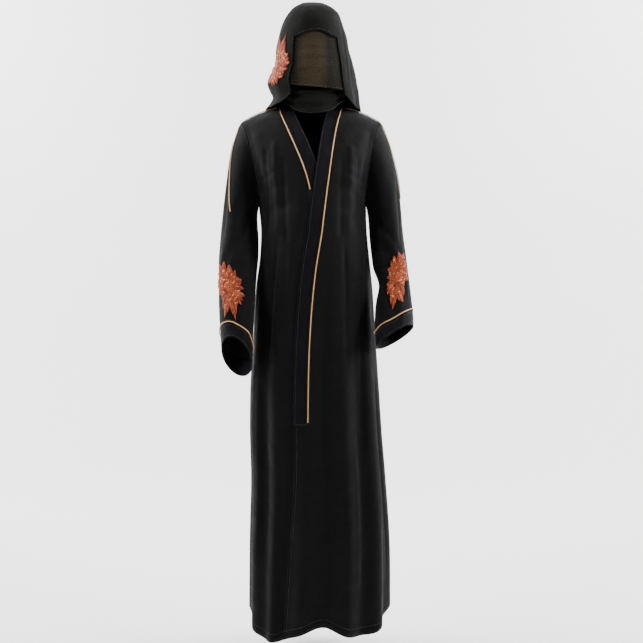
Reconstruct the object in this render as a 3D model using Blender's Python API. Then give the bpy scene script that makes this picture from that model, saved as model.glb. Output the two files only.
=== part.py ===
"""A front-opening robe with wide sleeves, a headscarf wound round the neck, and a two-layer face veil.

The set is hollow and keeps the pose of wear. The origin is the middle of the neck opening, at the
height where the shoulders carry the robe. +Z is up, the front faces -Y and +X is the wearer's left.
Lengths are in metres. Angles go round the body from 0 at the front, through 90 at the wearer's
left, to 180 at the back.

Every piece of cloth is a wall between two grids of points. Neighbouring pieces share the points of
their seam, which are then drawn back by half of the seam's gap.
"""

import math

import bpy
import numpy as np

COLLECTION = "robe_scarf_and_veil"

# Cloth, seams and trims
CLOTH = 0.0016
VEIL_CLOTH = 0.0010
HALF_GAP = 0.0002
LAYER_STEP = 0.0040
BAND_WIDTH = 0.037
PIPING_RADIUS = 0.0017
PIPING_LIFT = 0.0006
RIGHT_PIPING_END = -0.235
APPLIQUE_THICKNESS = 0.0020

# Landmarks of the robe
HEM_HEIGHT = -1.445
PLACKET_END = -0.862
YOKE_HEIGHT = -0.340
ARMPIT_HEIGHT = -0.275
HEM_LIFT_START = -1.05
NECK_POINT = np.array([0.088, 0.000, 0.000])
SHOULDER_TIP = np.array([0.196, 0.002, -0.042])
SHOULDER_RISE = 0.006
NECK_BACK_DEPTH = 0.080
NECK_BACK_DROP = 0.010
COLLAR_HALF_WIDTH = 0.052
COLLAR_DEPTH = 0.045
COLLAR_RISE = 0.012
CHEST_CURVE = 2.6
BACK_HOLLOW = 0.032
ROUNDNESS = 0.92
ARMHOLE_LEAVE = np.array([-0.02, 0.20, 0.17])
ARMHOLE_ARRIVE = np.array([0.06, -0.27, 0.0])
CHEST_TOP = -0.05
CHEST_EASE = 0.08
LAP_REACH = 0.040
LAP_EASE = 0.032
SHARP_CREASE = 0.70

# Grid sizes
HEM_ROWS = 5
PLACKET_ROWS = 5
YOKE_ROWS = 2
ARMHOLE_ROWS = 11
BAND_COLUMNS = 2
FRONT_COLUMNS = 12
SHOULDER_COLUMNS = 7
NECK_COLUMNS = 10
SLEEVE_ROWS = 13
APPLIQUE_POINTS = 40
APPLIQUE_RINGS = 4

# Robe sections: half width, depth to the front and to the back, and sideways place of the middle
BODY_SECTIONS = (
    {"height": -1.445, "half_width": 0.1925, "front": 0.150, "back": 0.140, "middle": 0.022},
    {"height": -1.200, "half_width": 0.1905, "front": 0.145, "back": 0.132, "middle": 0.022},
    {"height": -1.030, "half_width": 0.1830, "front": 0.141, "back": 0.126, "middle": 0.018},
    {"height": -0.900, "half_width": 0.1795, "front": 0.138, "back": 0.123, "middle": 0.011},
    {"height": -0.780, "half_width": 0.1760, "front": 0.137, "back": 0.121, "middle": 0.008},
    {"height": -0.650, "half_width": 0.1700, "front": 0.136, "back": 0.118, "middle": 0.008},
    {"height": -0.500, "half_width": 0.1620, "front": 0.138, "back": 0.109, "middle": 0.009},
    {"height": -0.400, "half_width": 0.1510, "front": 0.142, "back": 0.106, "middle": 0.010},
    {"height": -0.340, "half_width": 0.1475, "front": 0.144, "back": 0.105, "middle": 0.008},
    {"height": -0.275, "half_width": 0.1500, "front": 0.145, "back": 0.106, "middle": 0.004},
)

# Sideways place of the free edge of the upper front, below the yoke line
FRONT_EDGE = (
    {"height": -1.445, "edge": -0.076},
    {"height": -1.340, "edge": -0.070},
    {"height": -1.200, "edge": -0.060},
    {"height": -1.100, "edge": -0.051},
    {"height": -0.986, "edge": -0.045},
    {"height": -0.850, "edge": -0.044},
    {"height": -0.650, "edge": -0.040},
    {"height": -0.540, "edge": -0.033},
    {"height": -0.454, "edge": -0.024},
    {"height": -0.340, "edge": -0.006},
)

# The seam of the front band from the yoke line to the neck, the free edge of the upper front
# there, and how far the middle of the chest stands forward
BAND_SEAM = (
    {"height": -0.340, "left": 0.0310, "right": -0.0060, "edge": -0.006, "front": 0.1440},
    {"height": -0.250, "left": 0.0415, "right": 0.0015, "edge": 0.006, "front": 0.1450},
    {"height": -0.172, "left": 0.0520, "right": -0.0170, "edge": 0.015, "front": 0.1390},
    {"height": -0.115, "left": 0.0600, "right": -0.0400, "edge": 0.023, "front": 0.1240},
    {"height": -0.060, "left": 0.0700, "right": -0.0650, "edge": 0.033, "front": 0.0990},
    {"height": -0.024, "left": 0.0790, "right": -0.0810, "edge": 0.042, "front": 0.0680},
)

# How far the hem is raised round the body: most at the front edges and at the sides
HEM_LIFTS = (
    {"angle": -90, "lift": 0.048},
    {"angle": -64, "lift": 0.016},
    {"angle": -38, "lift": 0.000},
    {"angle": -16, "lift": 0.026},
    {"angle": 4, "lift": 0.046},
    {"angle": 22, "lift": 0.024},
    {"angle": 42, "lift": 0.018},
    {"angle": 66, "lift": 0.034},
    {"angle": 90, "lift": 0.052},
    {"angle": 130, "lift": 0.020},
    {"angle": 180, "lift": 0.006},
    {"angle": 230, "lift": 0.018},
    {"angle": 270, "lift": 0.048},
)

# Long folds of the robe: the angle of each at the knee and at the hem, the height where it starts,
# how far it stands out (+) or in (-), and half its width in degrees
BODY_FOLDS = (
    {"knee": -82, "hem": -80, "start": -0.45, "depth": -0.006, "spread": 8},
    {"knee": -64, "hem": -61, "start": -0.40, "depth": 0.009, "spread": 9},
    {"knee": -47, "hem": -49, "start": -0.42, "depth": -0.009, "spread": 7},
    {"knee": -33, "hem": -39, "start": -0.38, "depth": 0.009, "spread": 8},
    {"knee": -19, "hem": -29, "start": -0.80, "depth": -0.011, "spread": 7},
    {"knee": -6, "hem": -14, "start": -0.78, "depth": 0.007, "spread": 8},
    {"knee": 8, "hem": 2, "start": -0.36, "depth": -0.014, "spread": 7},
    {"knee": 25, "hem": 18, "start": -0.34, "depth": 0.011, "spread": 9},
    {"knee": 42, "hem": 36, "start": -0.45, "depth": -0.009, "spread": 7},
    {"knee": 58, "hem": 53, "start": -0.38, "depth": 0.011, "spread": 9},
    {"knee": 76, "hem": 72, "start": -0.36, "depth": -0.010, "spread": 8},
    {"knee": 97, "hem": 95, "start": -0.40, "depth": 0.009, "spread": 9},
    {"knee": 116, "hem": 114, "start": -0.34, "depth": -0.012, "spread": 8},
    {"knee": 136, "hem": 135, "start": -0.31, "depth": 0.012, "spread": 9},
    {"knee": 155, "hem": 157, "start": -0.34, "depth": -0.012, "spread": 8},
    {"knee": 178, "hem": 181, "start": -0.30, "depth": 0.013, "spread": 10},
    {"knee": 203, "hem": 204, "start": -0.33, "depth": -0.013, "spread": 8},
    {"knee": 223, "hem": 226, "start": -0.31, "depth": 0.011, "spread": 9},
    {"knee": 244, "hem": 246, "start": -0.36, "depth": -0.010, "spread": 8},
    {"knee": 261, "hem": 263, "start": -0.44, "depth": 0.006, "spread": 8},
)
FOLD_GROWTH = 0.50
FOLD_WIDENING = 0.25

# Folds of the upper front and back, as lines in the front view, with depth and half width
YOKE_FOLDS = (
    {"face": "front", "from": (-0.176, -0.075), "to": (-0.132, -0.225), "depth": -0.0060, "spread": 0.013},
    {"face": "front", "from": (-0.140, -0.245), "to": (-0.062, -0.205), "depth": -0.0045, "spread": 0.013},
    {"face": "front", "from": (-0.130, -0.300), "to": (-0.050, -0.262), "depth": -0.0040, "spread": 0.014},
    {"face": "front", "from": (-0.150, -0.090), "to": (-0.098, -0.190), "depth": 0.0035, "spread": 0.016},
    {"face": "front", "from": (0.172, -0.075), "to": (0.140, -0.225), "depth": -0.0060, "spread": 0.013},
    {"face": "front", "from": (0.142, -0.255), "to": (0.084, -0.215), "depth": -0.0040, "spread": 0.013},
    {"face": "front", "from": (0.140, -0.090), "to": (0.104, -0.200), "depth": 0.0035, "spread": 0.016},
    {"face": "back", "from": (-0.150, -0.090), "to": (-0.110, -0.260), "depth": -0.0050, "spread": 0.015},
    {"face": "back", "from": (0.148, -0.090), "to": (0.112, -0.250), "depth": -0.0055, "spread": 0.015},
    {"face": "back", "from": (-0.060, -0.150), "to": (-0.050, -0.320), "depth": 0.0050, "spread": 0.018},
    {"face": "back", "from": (0.055, -0.140), "to": (0.062, -0.320), "depth": 0.0045, "spread": 0.018},
)

# Sleeve sections below the armhole, for a sleeve on the +X side: a point on the outer line and one
# on the inner line, the half depth from front to back, and how far the front is raised, in degrees
RIGHT_SLEEVE = (
    {"outer": (0.222, 0.000, -0.110), "inner": (0.150, -0.002, -0.312), "depth": 0.066, "raise": 0},
    {"outer": (0.234, -0.004, -0.190), "inner": (0.146, -0.014, -0.360), "depth": 0.066, "raise": 2},
    {"outer": (0.243, -0.010, -0.270), "inner": (0.145, -0.030, -0.410), "depth": 0.067, "raise": 4},
    {"outer": (0.250, -0.022, -0.350), "inner": (0.148, -0.048, -0.458), "depth": 0.068, "raise": 8},
    {"outer": (0.254, -0.040, -0.425), "inner": (0.151, -0.064, -0.508), "depth": 0.069, "raise": 14},
    {"outer": (0.252, -0.062, -0.495), "inner": (0.153, -0.082, -0.560), "depth": 0.070, "raise": 24},
    {"outer": (0.249, -0.084, -0.560), "inner": (0.155, -0.100, -0.612), "depth": 0.072, "raise": 36},
    {"outer": (0.243, -0.104, -0.628), "inner": (0.156, -0.116, -0.662), "depth": 0.074, "raise": 46},
    {"outer": (0.240, -0.114, -0.664), "inner": (0.156, -0.124, -0.694), "depth": 0.075, "raise": 50},
)
LEFT_SLEEVE = (
    {"outer": (0.221, 0.000, -0.110), "inner": (0.160, -0.002, -0.312), "depth": 0.066, "raise": 0},
    {"outer": (0.241, -0.002, -0.190), "inner": (0.163, -0.010, -0.360), "depth": 0.064, "raise": 0},
    {"outer": (0.250, -0.006, -0.270), "inner": (0.167, -0.022, -0.405), "depth": 0.063, "raise": 0},
    {"outer": (0.256, -0.014, -0.345), "inner": (0.173, -0.034, -0.448), "depth": 0.062, "raise": 3},
    {"outer": (0.264, -0.028, -0.415), "inner": (0.187, -0.048, -0.492), "depth": 0.062, "raise": 6},
    {"outer": (0.270, -0.046, -0.472), "inner": (0.178, -0.066, -0.540), "depth": 0.064, "raise": 10},
    {"outer": (0.275, -0.064, -0.524), "inner": (0.174, -0.082, -0.588), "depth": 0.066, "raise": 14},
    {"outer": (0.279, -0.080, -0.572), "inner": (0.175, -0.097, -0.630), "depth": 0.070, "raise": 18},
    {"outer": (0.279, -0.090, -0.602), "inner": (0.176, -0.106, -0.655), "depth": 0.072, "raise": 22},
)
ARMHOLE_BLEND = 0.22
CUFF_SHARES = {"left": 0.150, "right": 0.135}

# Folds of a sleeve: the share of its length and the angle round it (0 outer, 90 front, 180 inner)
# at the fold's two ends, how far it stands out or in, and its half width in degrees
SLEEVE_FOLDS = (
    {"from": 0.10, "to": 0.60, "start": 118, "end": 92, "depth": -0.0060, "spread": 18},
    {"from": 0.16, "to": 0.66, "start": 66, "end": 50, "depth": 0.0050, "spread": 19},
    {"from": 0.34, "to": 0.88, "start": 150, "end": 128, "depth": 0.0050, "spread": 19},
    {"from": 0.55, "to": 0.90, "start": 92, "end": 84, "depth": -0.0040, "spread": 17},
    {"from": 0.12, "to": 0.72, "start": 236, "end": 262, "depth": -0.0065, "spread": 18},
    {"from": 0.22, "to": 0.88, "start": 300, "end": 286, "depth": 0.0055, "spread": 19},
    {"from": 0.55, "to": 0.90, "start": 222, "end": 236, "depth": -0.0040, "spread": 18},
)
SLEEVE_FOLD_EASE = 0.12
SLEEVE_PIPING_SHARE = 0.36
SLEEVE_PIPING_ANGLES = {"left": 16.0, "right": 62.0}

# Scarf over the head: half widths to the wearer's right and left, depths to the front and back
HOOD_SECTIONS = (
    {"height": 0.290, "right": 0.030, "left": 0.040, "front": 0.034, "back": 0.040},
    {"height": 0.280, "right": 0.047, "left": 0.058, "front": 0.058, "back": 0.064},
    {"height": 0.263, "right": 0.063, "left": 0.077, "front": 0.080, "back": 0.086},
    {"height": 0.246, "right": 0.074, "left": 0.084, "front": 0.092, "back": 0.099},
    {"height": 0.222, "right": 0.084, "left": 0.092, "front": 0.102, "back": 0.109},
    {"height": 0.198, "right": 0.090, "left": 0.100, "front": 0.107, "back": 0.114},
    {"height": 0.162, "right": 0.098, "left": 0.106, "front": 0.110, "back": 0.117},
    {"height": 0.129, "right": 0.100, "left": 0.114, "front": 0.111, "back": 0.116},
    {"height": 0.112, "right": 0.103, "left": 0.117, "front": 0.111, "back": 0.115},
    {"height": 0.095, "right": 0.112, "left": 0.120, "front": 0.111, "back": 0.114},
    {"height": 0.068, "right": 0.122, "left": 0.124, "front": 0.110, "back": 0.113},
    {"height": 0.045, "right": 0.115, "left": 0.129, "front": 0.107, "back": 0.113},
    {"height": 0.028, "right": 0.107, "left": 0.132, "front": 0.104, "back": 0.114},
    {"height": 0.011, "right": 0.115, "left": 0.134, "front": 0.101, "back": 0.115},
    {"height": -0.006, "right": 0.129, "left": 0.137, "front": 0.100, "back": 0.117},
    {"height": -0.030, "right": 0.146, "left": 0.142, "front": 0.100, "back": 0.121},
    {"height": -0.200, "right": 0.150, "left": 0.146, "front": 0.100, "back": 0.132},
)
CROWN_TOP = (0.005, 0.004, 0.294)
CROWN_HEIGHTS = (0.222, 0.244, 0.262, 0.276, 0.286)
FACE_TOP = 0.200
FACE_ARCH = 0.016
FACE_ANGLE = 8.0
FACE_HALF_ANGLE = 35.0
HOOD_COLUMNS = 22
FACE_COLUMNS = 5
HOOD_ROWS = 8

# The lower edge of the scarf over the head, round the neck from one side of the face to the other
HOOD_EDGE = (
    {"angle": 43, "height": 0.034},
    {"angle": 56, "height": 0.010},
    {"angle": 70, "height": 0.000},
    {"angle": 90, "height": -0.0084},
    {"angle": 112, "height": -0.022},
    {"angle": 140, "height": -0.120},
    {"angle": 180, "height": -0.180},
    {"angle": 220, "height": -0.130},
    {"angle": 247, "height": -0.030},
    {"angle": 270, "height": -0.0034},
    {"angle": 300, "height": 0.002},
    {"angle": 318, "height": 0.012},
    {"angle": 333, "height": 0.036},
)
HOOD_FOLDS = (
    {"angle": 72, "start": 0.17, "depth": -0.0045, "spread": 8},
    {"angle": 90, "start": 0.17, "depth": 0.0030, "spread": 8},
    {"angle": 112, "start": 0.13, "depth": -0.0060, "spread": 9},
    {"angle": 134, "start": 0.15, "depth": 0.0060, "spread": 9},
    {"angle": 155, "start": 0.12, "depth": -0.0070, "spread": 9},
    {"angle": 178, "start": 0.14, "depth": 0.0070, "spread": 10},
    {"angle": 202, "start": 0.11, "depth": -0.0070, "spread": 9},
    {"angle": 226, "start": 0.15, "depth": 0.0055, "spread": 9},
    {"angle": 248, "start": 0.12, "depth": -0.0050, "spread": 9},
    {"angle": 292, "start": 0.12, "depth": -0.0030, "spread": 10},
)
HOOD_FOLD_GROWTH = 0.10

# Scarf round the front of the neck: the heights of its two edges, and how far it lies from the axis
WRAP_SECTIONS = (
    {"angle": -84, "low": 0.030, "high": 0.064, "reach": 0.092},
    {"angle": -56, "low": 0.004, "high": 0.050, "reach": 0.088},
    {"angle": -24, "low": -0.018, "high": 0.042, "reach": 0.089},
    {"angle": 6, "low": -0.022, "high": 0.042, "reach": 0.091},
    {"angle": 36, "low": -0.012, "high": 0.050, "reach": 0.091},
    {"angle": 66, "low": 0.014, "high": 0.068, "reach": 0.094},
    {"angle": 92, "low": 0.034, "high": 0.080, "reach": 0.096},
)
WRAP_COLUMNS = 20
WRAP_ROWS = 6
WRAP_ROLLS = 2.0
WRAP_ROLL_DEPTH = 0.0035
WRAP_SIDE_SHARE = 0.92
WRAP_MIDDLE = 0.006
WRAP_TUCK = 34.0
WRAP_TUCK_GAP = 0.0034
WRAP_END_GAP = 0.0006
WRAP_END = 6.0

# Face veil: how far its layers lie inside the scarf, and how far the middle stands forward
VEIL_HALF_ANGLE = 43.0
OUTER_VEIL_INSET = 0.0042
INNER_VEIL_INSET = 0.0064
VEIL_PROFILE = (
    {"height": 0.030, "forward": 0.004},
    {"height": 0.070, "forward": 0.010},
    {"height": 0.110, "forward": 0.014},
    {"height": 0.140, "forward": 0.015},
    {"height": 0.165, "forward": 0.008},
    {"height": 0.188, "forward": 0.000},
    {"height": 0.215, "forward": -0.004},
)
VEIL_LAYERS = {
    "veil_band": {"low": 0.178, "high": 0.206, "inset": INNER_VEIL_INSET, "rows": 2, "slant": 0.0},
    "veil_lower": {"low": 0.062, "high": 0.148, "inset": INNER_VEIL_INSET, "rows": 5, "slant": -0.008},
    "veil_outer": {"low": 0.047, "high": 0.208, "inset": OUTER_VEIL_INSET, "rows": 8, "slant": -0.008},
}
VEIL_COLUMNS = 12

# Sewn-on sprays: lobes of the outline as angle, reach and half width in degrees, with the two long
# tails last. 90 degrees points along the rising rows: down a sleeve, and up the scarf
SPRAY_LOBES = (
    {"angle": 270, "reach": 0.80, "width": 26},
    {"angle": 225, "reach": 0.92, "width": 24},
    {"angle": 315, "reach": 0.92, "width": 24},
    {"angle": 189, "reach": 0.85, "width": 22},
    {"angle": 351, "reach": 0.85, "width": 22},
    {"angle": 153, "reach": 0.78, "width": 18},
    {"angle": 27, "reach": 0.78, "width": 18},
    {"angle": 108, "reach": 1.20, "width": 12},
    {"angle": 72, "reach": 1.20, "width": 12},
)
SPRAY_HEART = 0.66
SPRAY_INNER_RING = 0.3

# The row and column of each spray's heart on its panel, the rows and columns that a reach of 1 spans,
# and how far its underside lies from the panel's own points
SPRAYS = {
    "applique_sleeve_left": {"row": 8.70, "column": 4.95, "rows": 2.1, "columns": 2.9, "lift": 0.0027},
    "applique_sleeve_right": {"row": 9.30, "column": 4.51, "rows": 2.1, "columns": 3.4, "lift": 0.0026},
    "applique_scarf": {"row": 4.80, "column": 19.95, "rows": 3.0, "columns": 2.0, "lift": 0.0021},
}

MATERIALS = {
    "robe_cloth": {"colour": (0.010, 0.010, 0.011), "roughness": 0.62, "metallic": 0.0},
    "band_cloth": {"colour": (0.009, 0.008, 0.012), "roughness": 0.45, "metallic": 0.0},
    "scarf_cloth": {"colour": (0.011, 0.011, 0.011), "roughness": 0.70, "metallic": 0.0},
    "veil_cloth": {"colour": (0.020, 0.018, 0.015), "roughness": 0.75, "metallic": 0.0},
    "piping_satin": {"colour": (0.62, 0.42, 0.26), "roughness": 0.35, "metallic": 0.0},
    "applique_thread": {"colour": (0.55, 0.095, 0.030), "roughness": 0.50, "metallic": 0.0},
}


# Curves, sections and blends


def smooth_step(value):
    """0 below 0, 1 above 1, and an even S between."""
    share = np.clip(value, 0.0, 1.0)
    return share * share * (3 - 2 * share)


def unit(vectors):
    """The same directions with length 1."""
    return vectors / np.maximum(np.linalg.norm(vectors, axis=-1, keepdims=True), 1e-12)


def bell(distance, spread):
    """1 at distance 0, falling off evenly on both sides."""
    return np.exp(-((distance / spread) ** 2))


def smooth_through(places, values, wanted):
    """A smooth curve through the values at rising places, read at the wanted places."""
    places, values = np.asarray(places, float), np.asarray(values, float)
    wanted = np.clip(np.asarray(wanted, float), places[0], places[-1])
    slopes = np.gradient(values, places, axis=0)
    index = np.clip(np.searchsorted(places, wanted, side="right") - 1, 0, len(places) - 2)
    step = places[index + 1] - places[index]
    share = (wanted - places[index]) / step
    if values.ndim > 1:
        share, step = share[..., None], step[..., None]
    return (
        values[index] * (1 + 2 * share) * (1 - share) ** 2
        + slopes[index] * step * share * (1 - share) ** 2
        + values[index + 1] * share**2 * (3 - 2 * share)
        + slopes[index + 1] * step * share**2 * (share - 1)
    )


def read(table, column, wanted, key="height"):
    """A column of a table as a smooth function of its key column."""
    rows = sorted(table, key=lambda row: row[key])
    return smooth_through([row[key] for row in rows], [row[column] for row in rows], wanted)


def along(points, shares):
    """Points at these shares of the length of a smooth curve through the given points."""
    points = np.asarray(points, float)
    lengths = np.concatenate([[0], np.cumsum(np.linalg.norm(np.diff(points, axis=0), axis=1))])
    return smooth_through(lengths / lengths[-1], points, shares)


def angle_between(angle, other):
    """The signed difference of two angles in degrees, the short way round."""
    return (np.asarray(angle) - other + 180.0) % 360.0 - 180.0


def rounded(angle, left, right, front, back):
    """Sideways and depth coordinates of a rounded section at an angle in degrees."""
    turn = np.radians(angle)
    side, ahead = np.sin(turn), np.cos(turn)
    width, depth = np.where(side > 0, left, right), np.where(ahead > 0, front, back)
    x = width * np.sign(side) * np.abs(side) ** ROUNDNESS
    y = -depth * np.sign(ahead) * np.abs(ahead) ** ROUNDNESS
    return x, y


def blended_patch(bottom, top, start, end):
    """A surface between four edges: the blends of both pairs of edges, less that of the corners."""
    up = np.linspace(0, 1, len(start))[:, None, None]
    across = np.linspace(0, 1, len(bottom))[None, :, None]
    corners = (
        (1 - up) * (1 - across) * bottom[0]
        + (1 - up) * across * bottom[-1]
        + up * (1 - across) * top[0]
        + up * across * top[-1]
    )
    between_rows = (1 - up) * bottom[None] + up * top[None]
    between_columns = (1 - across) * start[:, None] + across * end[:, None]
    return between_rows + between_columns - corners


# Grids of cloth


class Panel:
    """A stretch of cloth: a grid of points, and the way its outside faces.

    The outside is where the columns run to the right as the rows run up, or, with flip, to the
    left. With closed, the last column joins the first.
    """

    def __init__(self, grid, flip=False, closed=False):
        self.grid = grid
        self.flip = flip
        self.closed = closed
        self.outward = None

    def triangles(self, mask=None):
        """Corner numbers of the grid's triangles, two for each cell that the mask keeps."""
        rows, columns = self.grid.shape[:2]
        number = np.arange(rows * columns).reshape(rows, columns)
        if self.closed:
            number = np.concatenate([number, number[:, :1]], axis=1)
        low, high = number[:-1], number[1:]
        a, b, c, d = low[:, :-1], low[:, 1:], high[:, 1:], high[:, :-1]
        pairs = np.stack([np.stack([a, b, c], axis=-1), np.stack([a, c, d], axis=-1)], axis=-2)
        pairs = pairs.reshape(-1, 2, 3) if mask is None else pairs[mask]
        faces = pairs.reshape(-1, 3)
        return faces[:, ::-1] if self.flip else faces


def join(panels):
    """Give each point of the panels its outward direction; points at one place share theirs.

    Returns the shared directions. Where the panels meet in a sharp inner crease, each keeps its
    own direction for the thickness of its wall.
    """
    points = np.concatenate([panel.grid.reshape(-1, 3) for panel in panels])
    places = np.unique(np.round(points, 6), axis=0, return_inverse=True)[1].reshape(-1)
    own = np.zeros_like(points)
    start = 0
    for panel in panels:
        faces = panel.triangles() + start
        corners = points[faces]
        areas = np.cross(corners[:, 1] - corners[:, 0], corners[:, 2] - corners[:, 0])
        for corner in range(3):
            np.add.at(own, faces[:, corner], areas)
        start += panel.grid.shape[0] * panel.grid.shape[1]
    sums = np.zeros((places.max() + 1, 3))
    np.add.at(sums, places, own)
    shared, own = unit(sums[places]), unit(own)
    likeness = (shared * own).sum(axis=-1, keepdims=True)
    outward = np.where(likeness > SHARP_CREASE, shared / np.maximum(likeness, SHARP_CREASE), own)
    start = 0
    directions = []
    for panel in panels:
        stop = start + panel.grid.shape[0] * panel.grid.shape[1]
        panel.outward = outward[start:stop].reshape(panel.grid.shape)
        directions.append(shared[start:stop].reshape(panel.grid.shape))
        start = stop
    return directions


def drawn_back(grid, *seams):
    """The grid with each seam's points moved half a gap towards a neighbour.

    A seam is (rows, columns, row step, column step), with slices or whole numbers.
    """
    moved = grid.copy()
    row_numbers, column_numbers = np.indices(grid.shape[:2])
    for rows, columns, row_step, column_step in seams:
        row, column = row_numbers[rows, columns], column_numbers[rows, columns]
        neighbour = grid[row + row_step, column + column_step]
        moved[row, column] += HALF_GAP * unit(neighbour - grid[row, column])
    return moved


def on_grid(grid, row, column):
    """Points on the cells of a grid, at fractional rows and columns."""
    row = np.clip(row, 0, grid.shape[0] - 1.0001)
    column = np.clip(column, 0, grid.shape[1] - 1.0001)
    low, near = row.astype(int), column.astype(int)
    up, across = (row - low)[..., None], (column - near)[..., None]
    return (
        grid[low, near] * (1 - up) * (1 - across)
        + grid[low, near + 1] * (1 - up) * across
        + grid[low + 1, near] * up * (1 - across)
        + grid[low + 1, near + 1] * up * across
    )


# Objects


def clear_scene():
    """Remove what the scene holds, and give the set a collection of its own."""
    for thing in list(bpy.data.objects):
        bpy.data.objects.remove(thing)
    collection = bpy.data.collections.new(COLLECTION)
    bpy.context.scene.collection.children.link(collection)
    return collection


def material(name):
    """The Principled material of this name, made once."""
    found = bpy.data.materials.get(name)
    if found:
        return found
    made = bpy.data.materials.new(name)
    made.use_nodes = True
    shader = made.node_tree.nodes["Principled BSDF"]
    shader.inputs["Base Color"].default_value = (*MATERIALS[name]["colour"], 1.0)
    shader.inputs["Roughness"].default_value = MATERIALS[name]["roughness"]
    shader.inputs["Metallic"].default_value = MATERIALS[name]["metallic"]
    return made


def add(name, data, finish, collection):
    """An object with its material, linked to the collection."""
    made = bpy.data.objects.new(name, data)
    data.materials.append(material(finish))
    collection.objects.link(made)
    return made


def wall(name, outer, inner, faces, finish, collection):
    """A closed wall between two like sets of points, with a rim along its open edges."""
    count = len(outer)
    edges = np.concatenate([faces[:, [0, 1]], faces[:, [1, 2]], faces[:, [2, 0]]])
    keys = edges[:, 0] * count + edges[:, 1]
    open_edges = edges[~np.isin(keys, edges[:, 1] * count + edges[:, 0])]
    a, b = open_edges[:, 0], open_edges[:, 1]
    rim = np.concatenate([np.stack([b, a, a + count], axis=1), np.stack([b, a + count, b + count], axis=1)])
    every = np.concatenate([faces, faces[:, ::-1] + count, rim])
    points = np.concatenate([outer, inner])
    used, every = np.unique(every, return_inverse=True)
    mesh = bpy.data.meshes.new(name)
    mesh.from_pydata(points[used].tolist(), [], every.reshape(-1, 3).tolist())
    mesh.shade_smooth()
    return add(name, mesh, finish, collection)


def cloth(name, panel, finish, collection, grid=None, mask=None, thickness=CLOTH):
    """The wall of a panel, with its thickness inside the given grid or the panel's own."""
    grid = panel.grid if grid is None else grid
    inner = grid - panel.outward * thickness
    wall(name, grid.reshape(-1, 3), inner.reshape(-1, 3), panel.triangles(mask), finish, collection)


def piping(name, path, collection, ring=False):
    """A round cord along a path, with closed ends, or as a ring."""
    curve = bpy.data.curves.new(name, "CURVE")
    curve.dimensions = "3D"
    curve.bevel_depth = PIPING_RADIUS
    curve.bevel_resolution = 1
    curve.use_fill_caps = not ring
    spline = curve.splines.new("POLY")
    spline.points.add(len(path) - 1)
    for point, place in zip(spline.points, path):
        point.co = (*place, 1.0)
    spline.use_cyclic_u = ring
    add(name, curve, "piping_satin", collection)


# Robe body


def body_point(angle, height):
    """A point of the robe's body below the armpits, before its folds."""
    half = read(BODY_SECTIONS, "half_width", height)
    front, back = read(BODY_SECTIONS, "front", height), read(BODY_SECTIONS, "back", height)
    x, y = rounded(angle, half, half, front, back)
    return np.stack([x + read(BODY_SECTIONS, "middle", height), y, height + 0 * x], axis=-1)


def body_angle(x, height):
    """The angle at which the front of the body has this sideways place."""
    share = (x - read(BODY_SECTIONS, "middle", height)) / read(BODY_SECTIONS, "half_width", height)
    return np.degrees(np.arcsin(np.sign(share) * np.abs(share) ** (1 / ROUNDNESS)))


def body_fold(angle, height):
    """How far the long folds stand out at an angle and height."""
    low = np.clip((PLACKET_END - height) / (PLACKET_END - HEM_HEIGHT), 0, 1)
    total = np.zeros(np.shape(angle))
    for fold in BODY_FOLDS:
        centre = fold["knee"] + (fold["hem"] - fold["knee"]) * low
        grown = smooth_step((fold["start"] - height) / FOLD_GROWTH)
        spread = fold["spread"] * (1 + FOLD_WIDENING * low)
        total += fold["depth"] * grown * bell(angle_between(angle, centre), spread)
    return total


def yoke_fold(grid, face):
    """How far the upper folds of the front or back stand out at each point."""
    total = np.zeros(grid.shape[:2])
    place = grid[..., [0, 2]]
    for fold in YOKE_FOLDS:
        if fold["face"] == face:
            start, line = np.array(fold["from"]), np.array(fold["to"]) - np.array(fold["from"])
            share = np.clip((place - start) @ line / (line @ line), 0, 1)
            distance = np.linalg.norm(place - start - share[..., None] * line, axis=-1)
            total += fold["depth"] * bell(distance, fold["spread"])
    return total


def hem_height(height, angle):
    """Heights of the lower rows, raised towards the uneven hem."""
    share = smooth_step((height - HEM_LIFT_START) / (HEM_HEIGHT - HEM_LIFT_START))
    return height + share * read(HEM_LIFTS, "lift", angle, key="angle")


def lower_heights():
    """Heights of the rows from the hem to the yoke line, one of them at the end of the placket."""
    below = np.linspace(HEM_HEIGHT, PLACKET_END, HEM_ROWS + 1)
    return np.concatenate([below, np.linspace(PLACKET_END, YOKE_HEIGHT, PLACKET_ROWS + 1)[1:]])


def armhole_curve(side, towards):
    """The armhole from the armpit to the shoulder tip, bowed to the front (-1) or the back (+1)."""
    armpit = body_point(np.array(90.0 * side), np.array(ARMPIT_HEIGHT))
    tip = SHOULDER_TIP * [side, 1, 1]
    leave = ARMHOLE_LEAVE * [side, towards, 1]
    arrive = ARMHOLE_ARRIVE * [side, towards, 1]
    share = np.linspace(0, 1, ARMHOLE_ROWS + 1)[:, None]
    return (
        armpit * (1 + 2 * share) * (1 - share) ** 2
        + leave * share * (1 - share) ** 2
        + tip * share**2 * (3 - 2 * share)
        + arrive * share**2 * (share - 1)
    )


def side_boundary(side, towards):
    """The side seam from the yoke line to the armpit, and the armhole above it."""
    heights = np.linspace(YOKE_HEIGHT, ARMPIT_HEIGHT, YOKE_ROWS + 1)[:-1]
    seam = body_point(np.full(YOKE_ROWS, 90.0 * side), heights)
    return np.concatenate([seam, armhole_curve(side, towards)])


def square_to_shoulder(panel, columns, side):
    """Thicken a panel's shoulder edge straight below the seam, as its neighbour does."""
    run = unit(SHOULDER_TIP - NECK_POINT) * [side, 1, 1]
    square = unit(np.array([0, 0, 1.0]) - run[2] * run)
    own = panel.outward[-1, columns]
    panel.outward[-1, columns] = square / np.maximum((own * square).sum(axis=-1, keepdims=True), 0.6)


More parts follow.
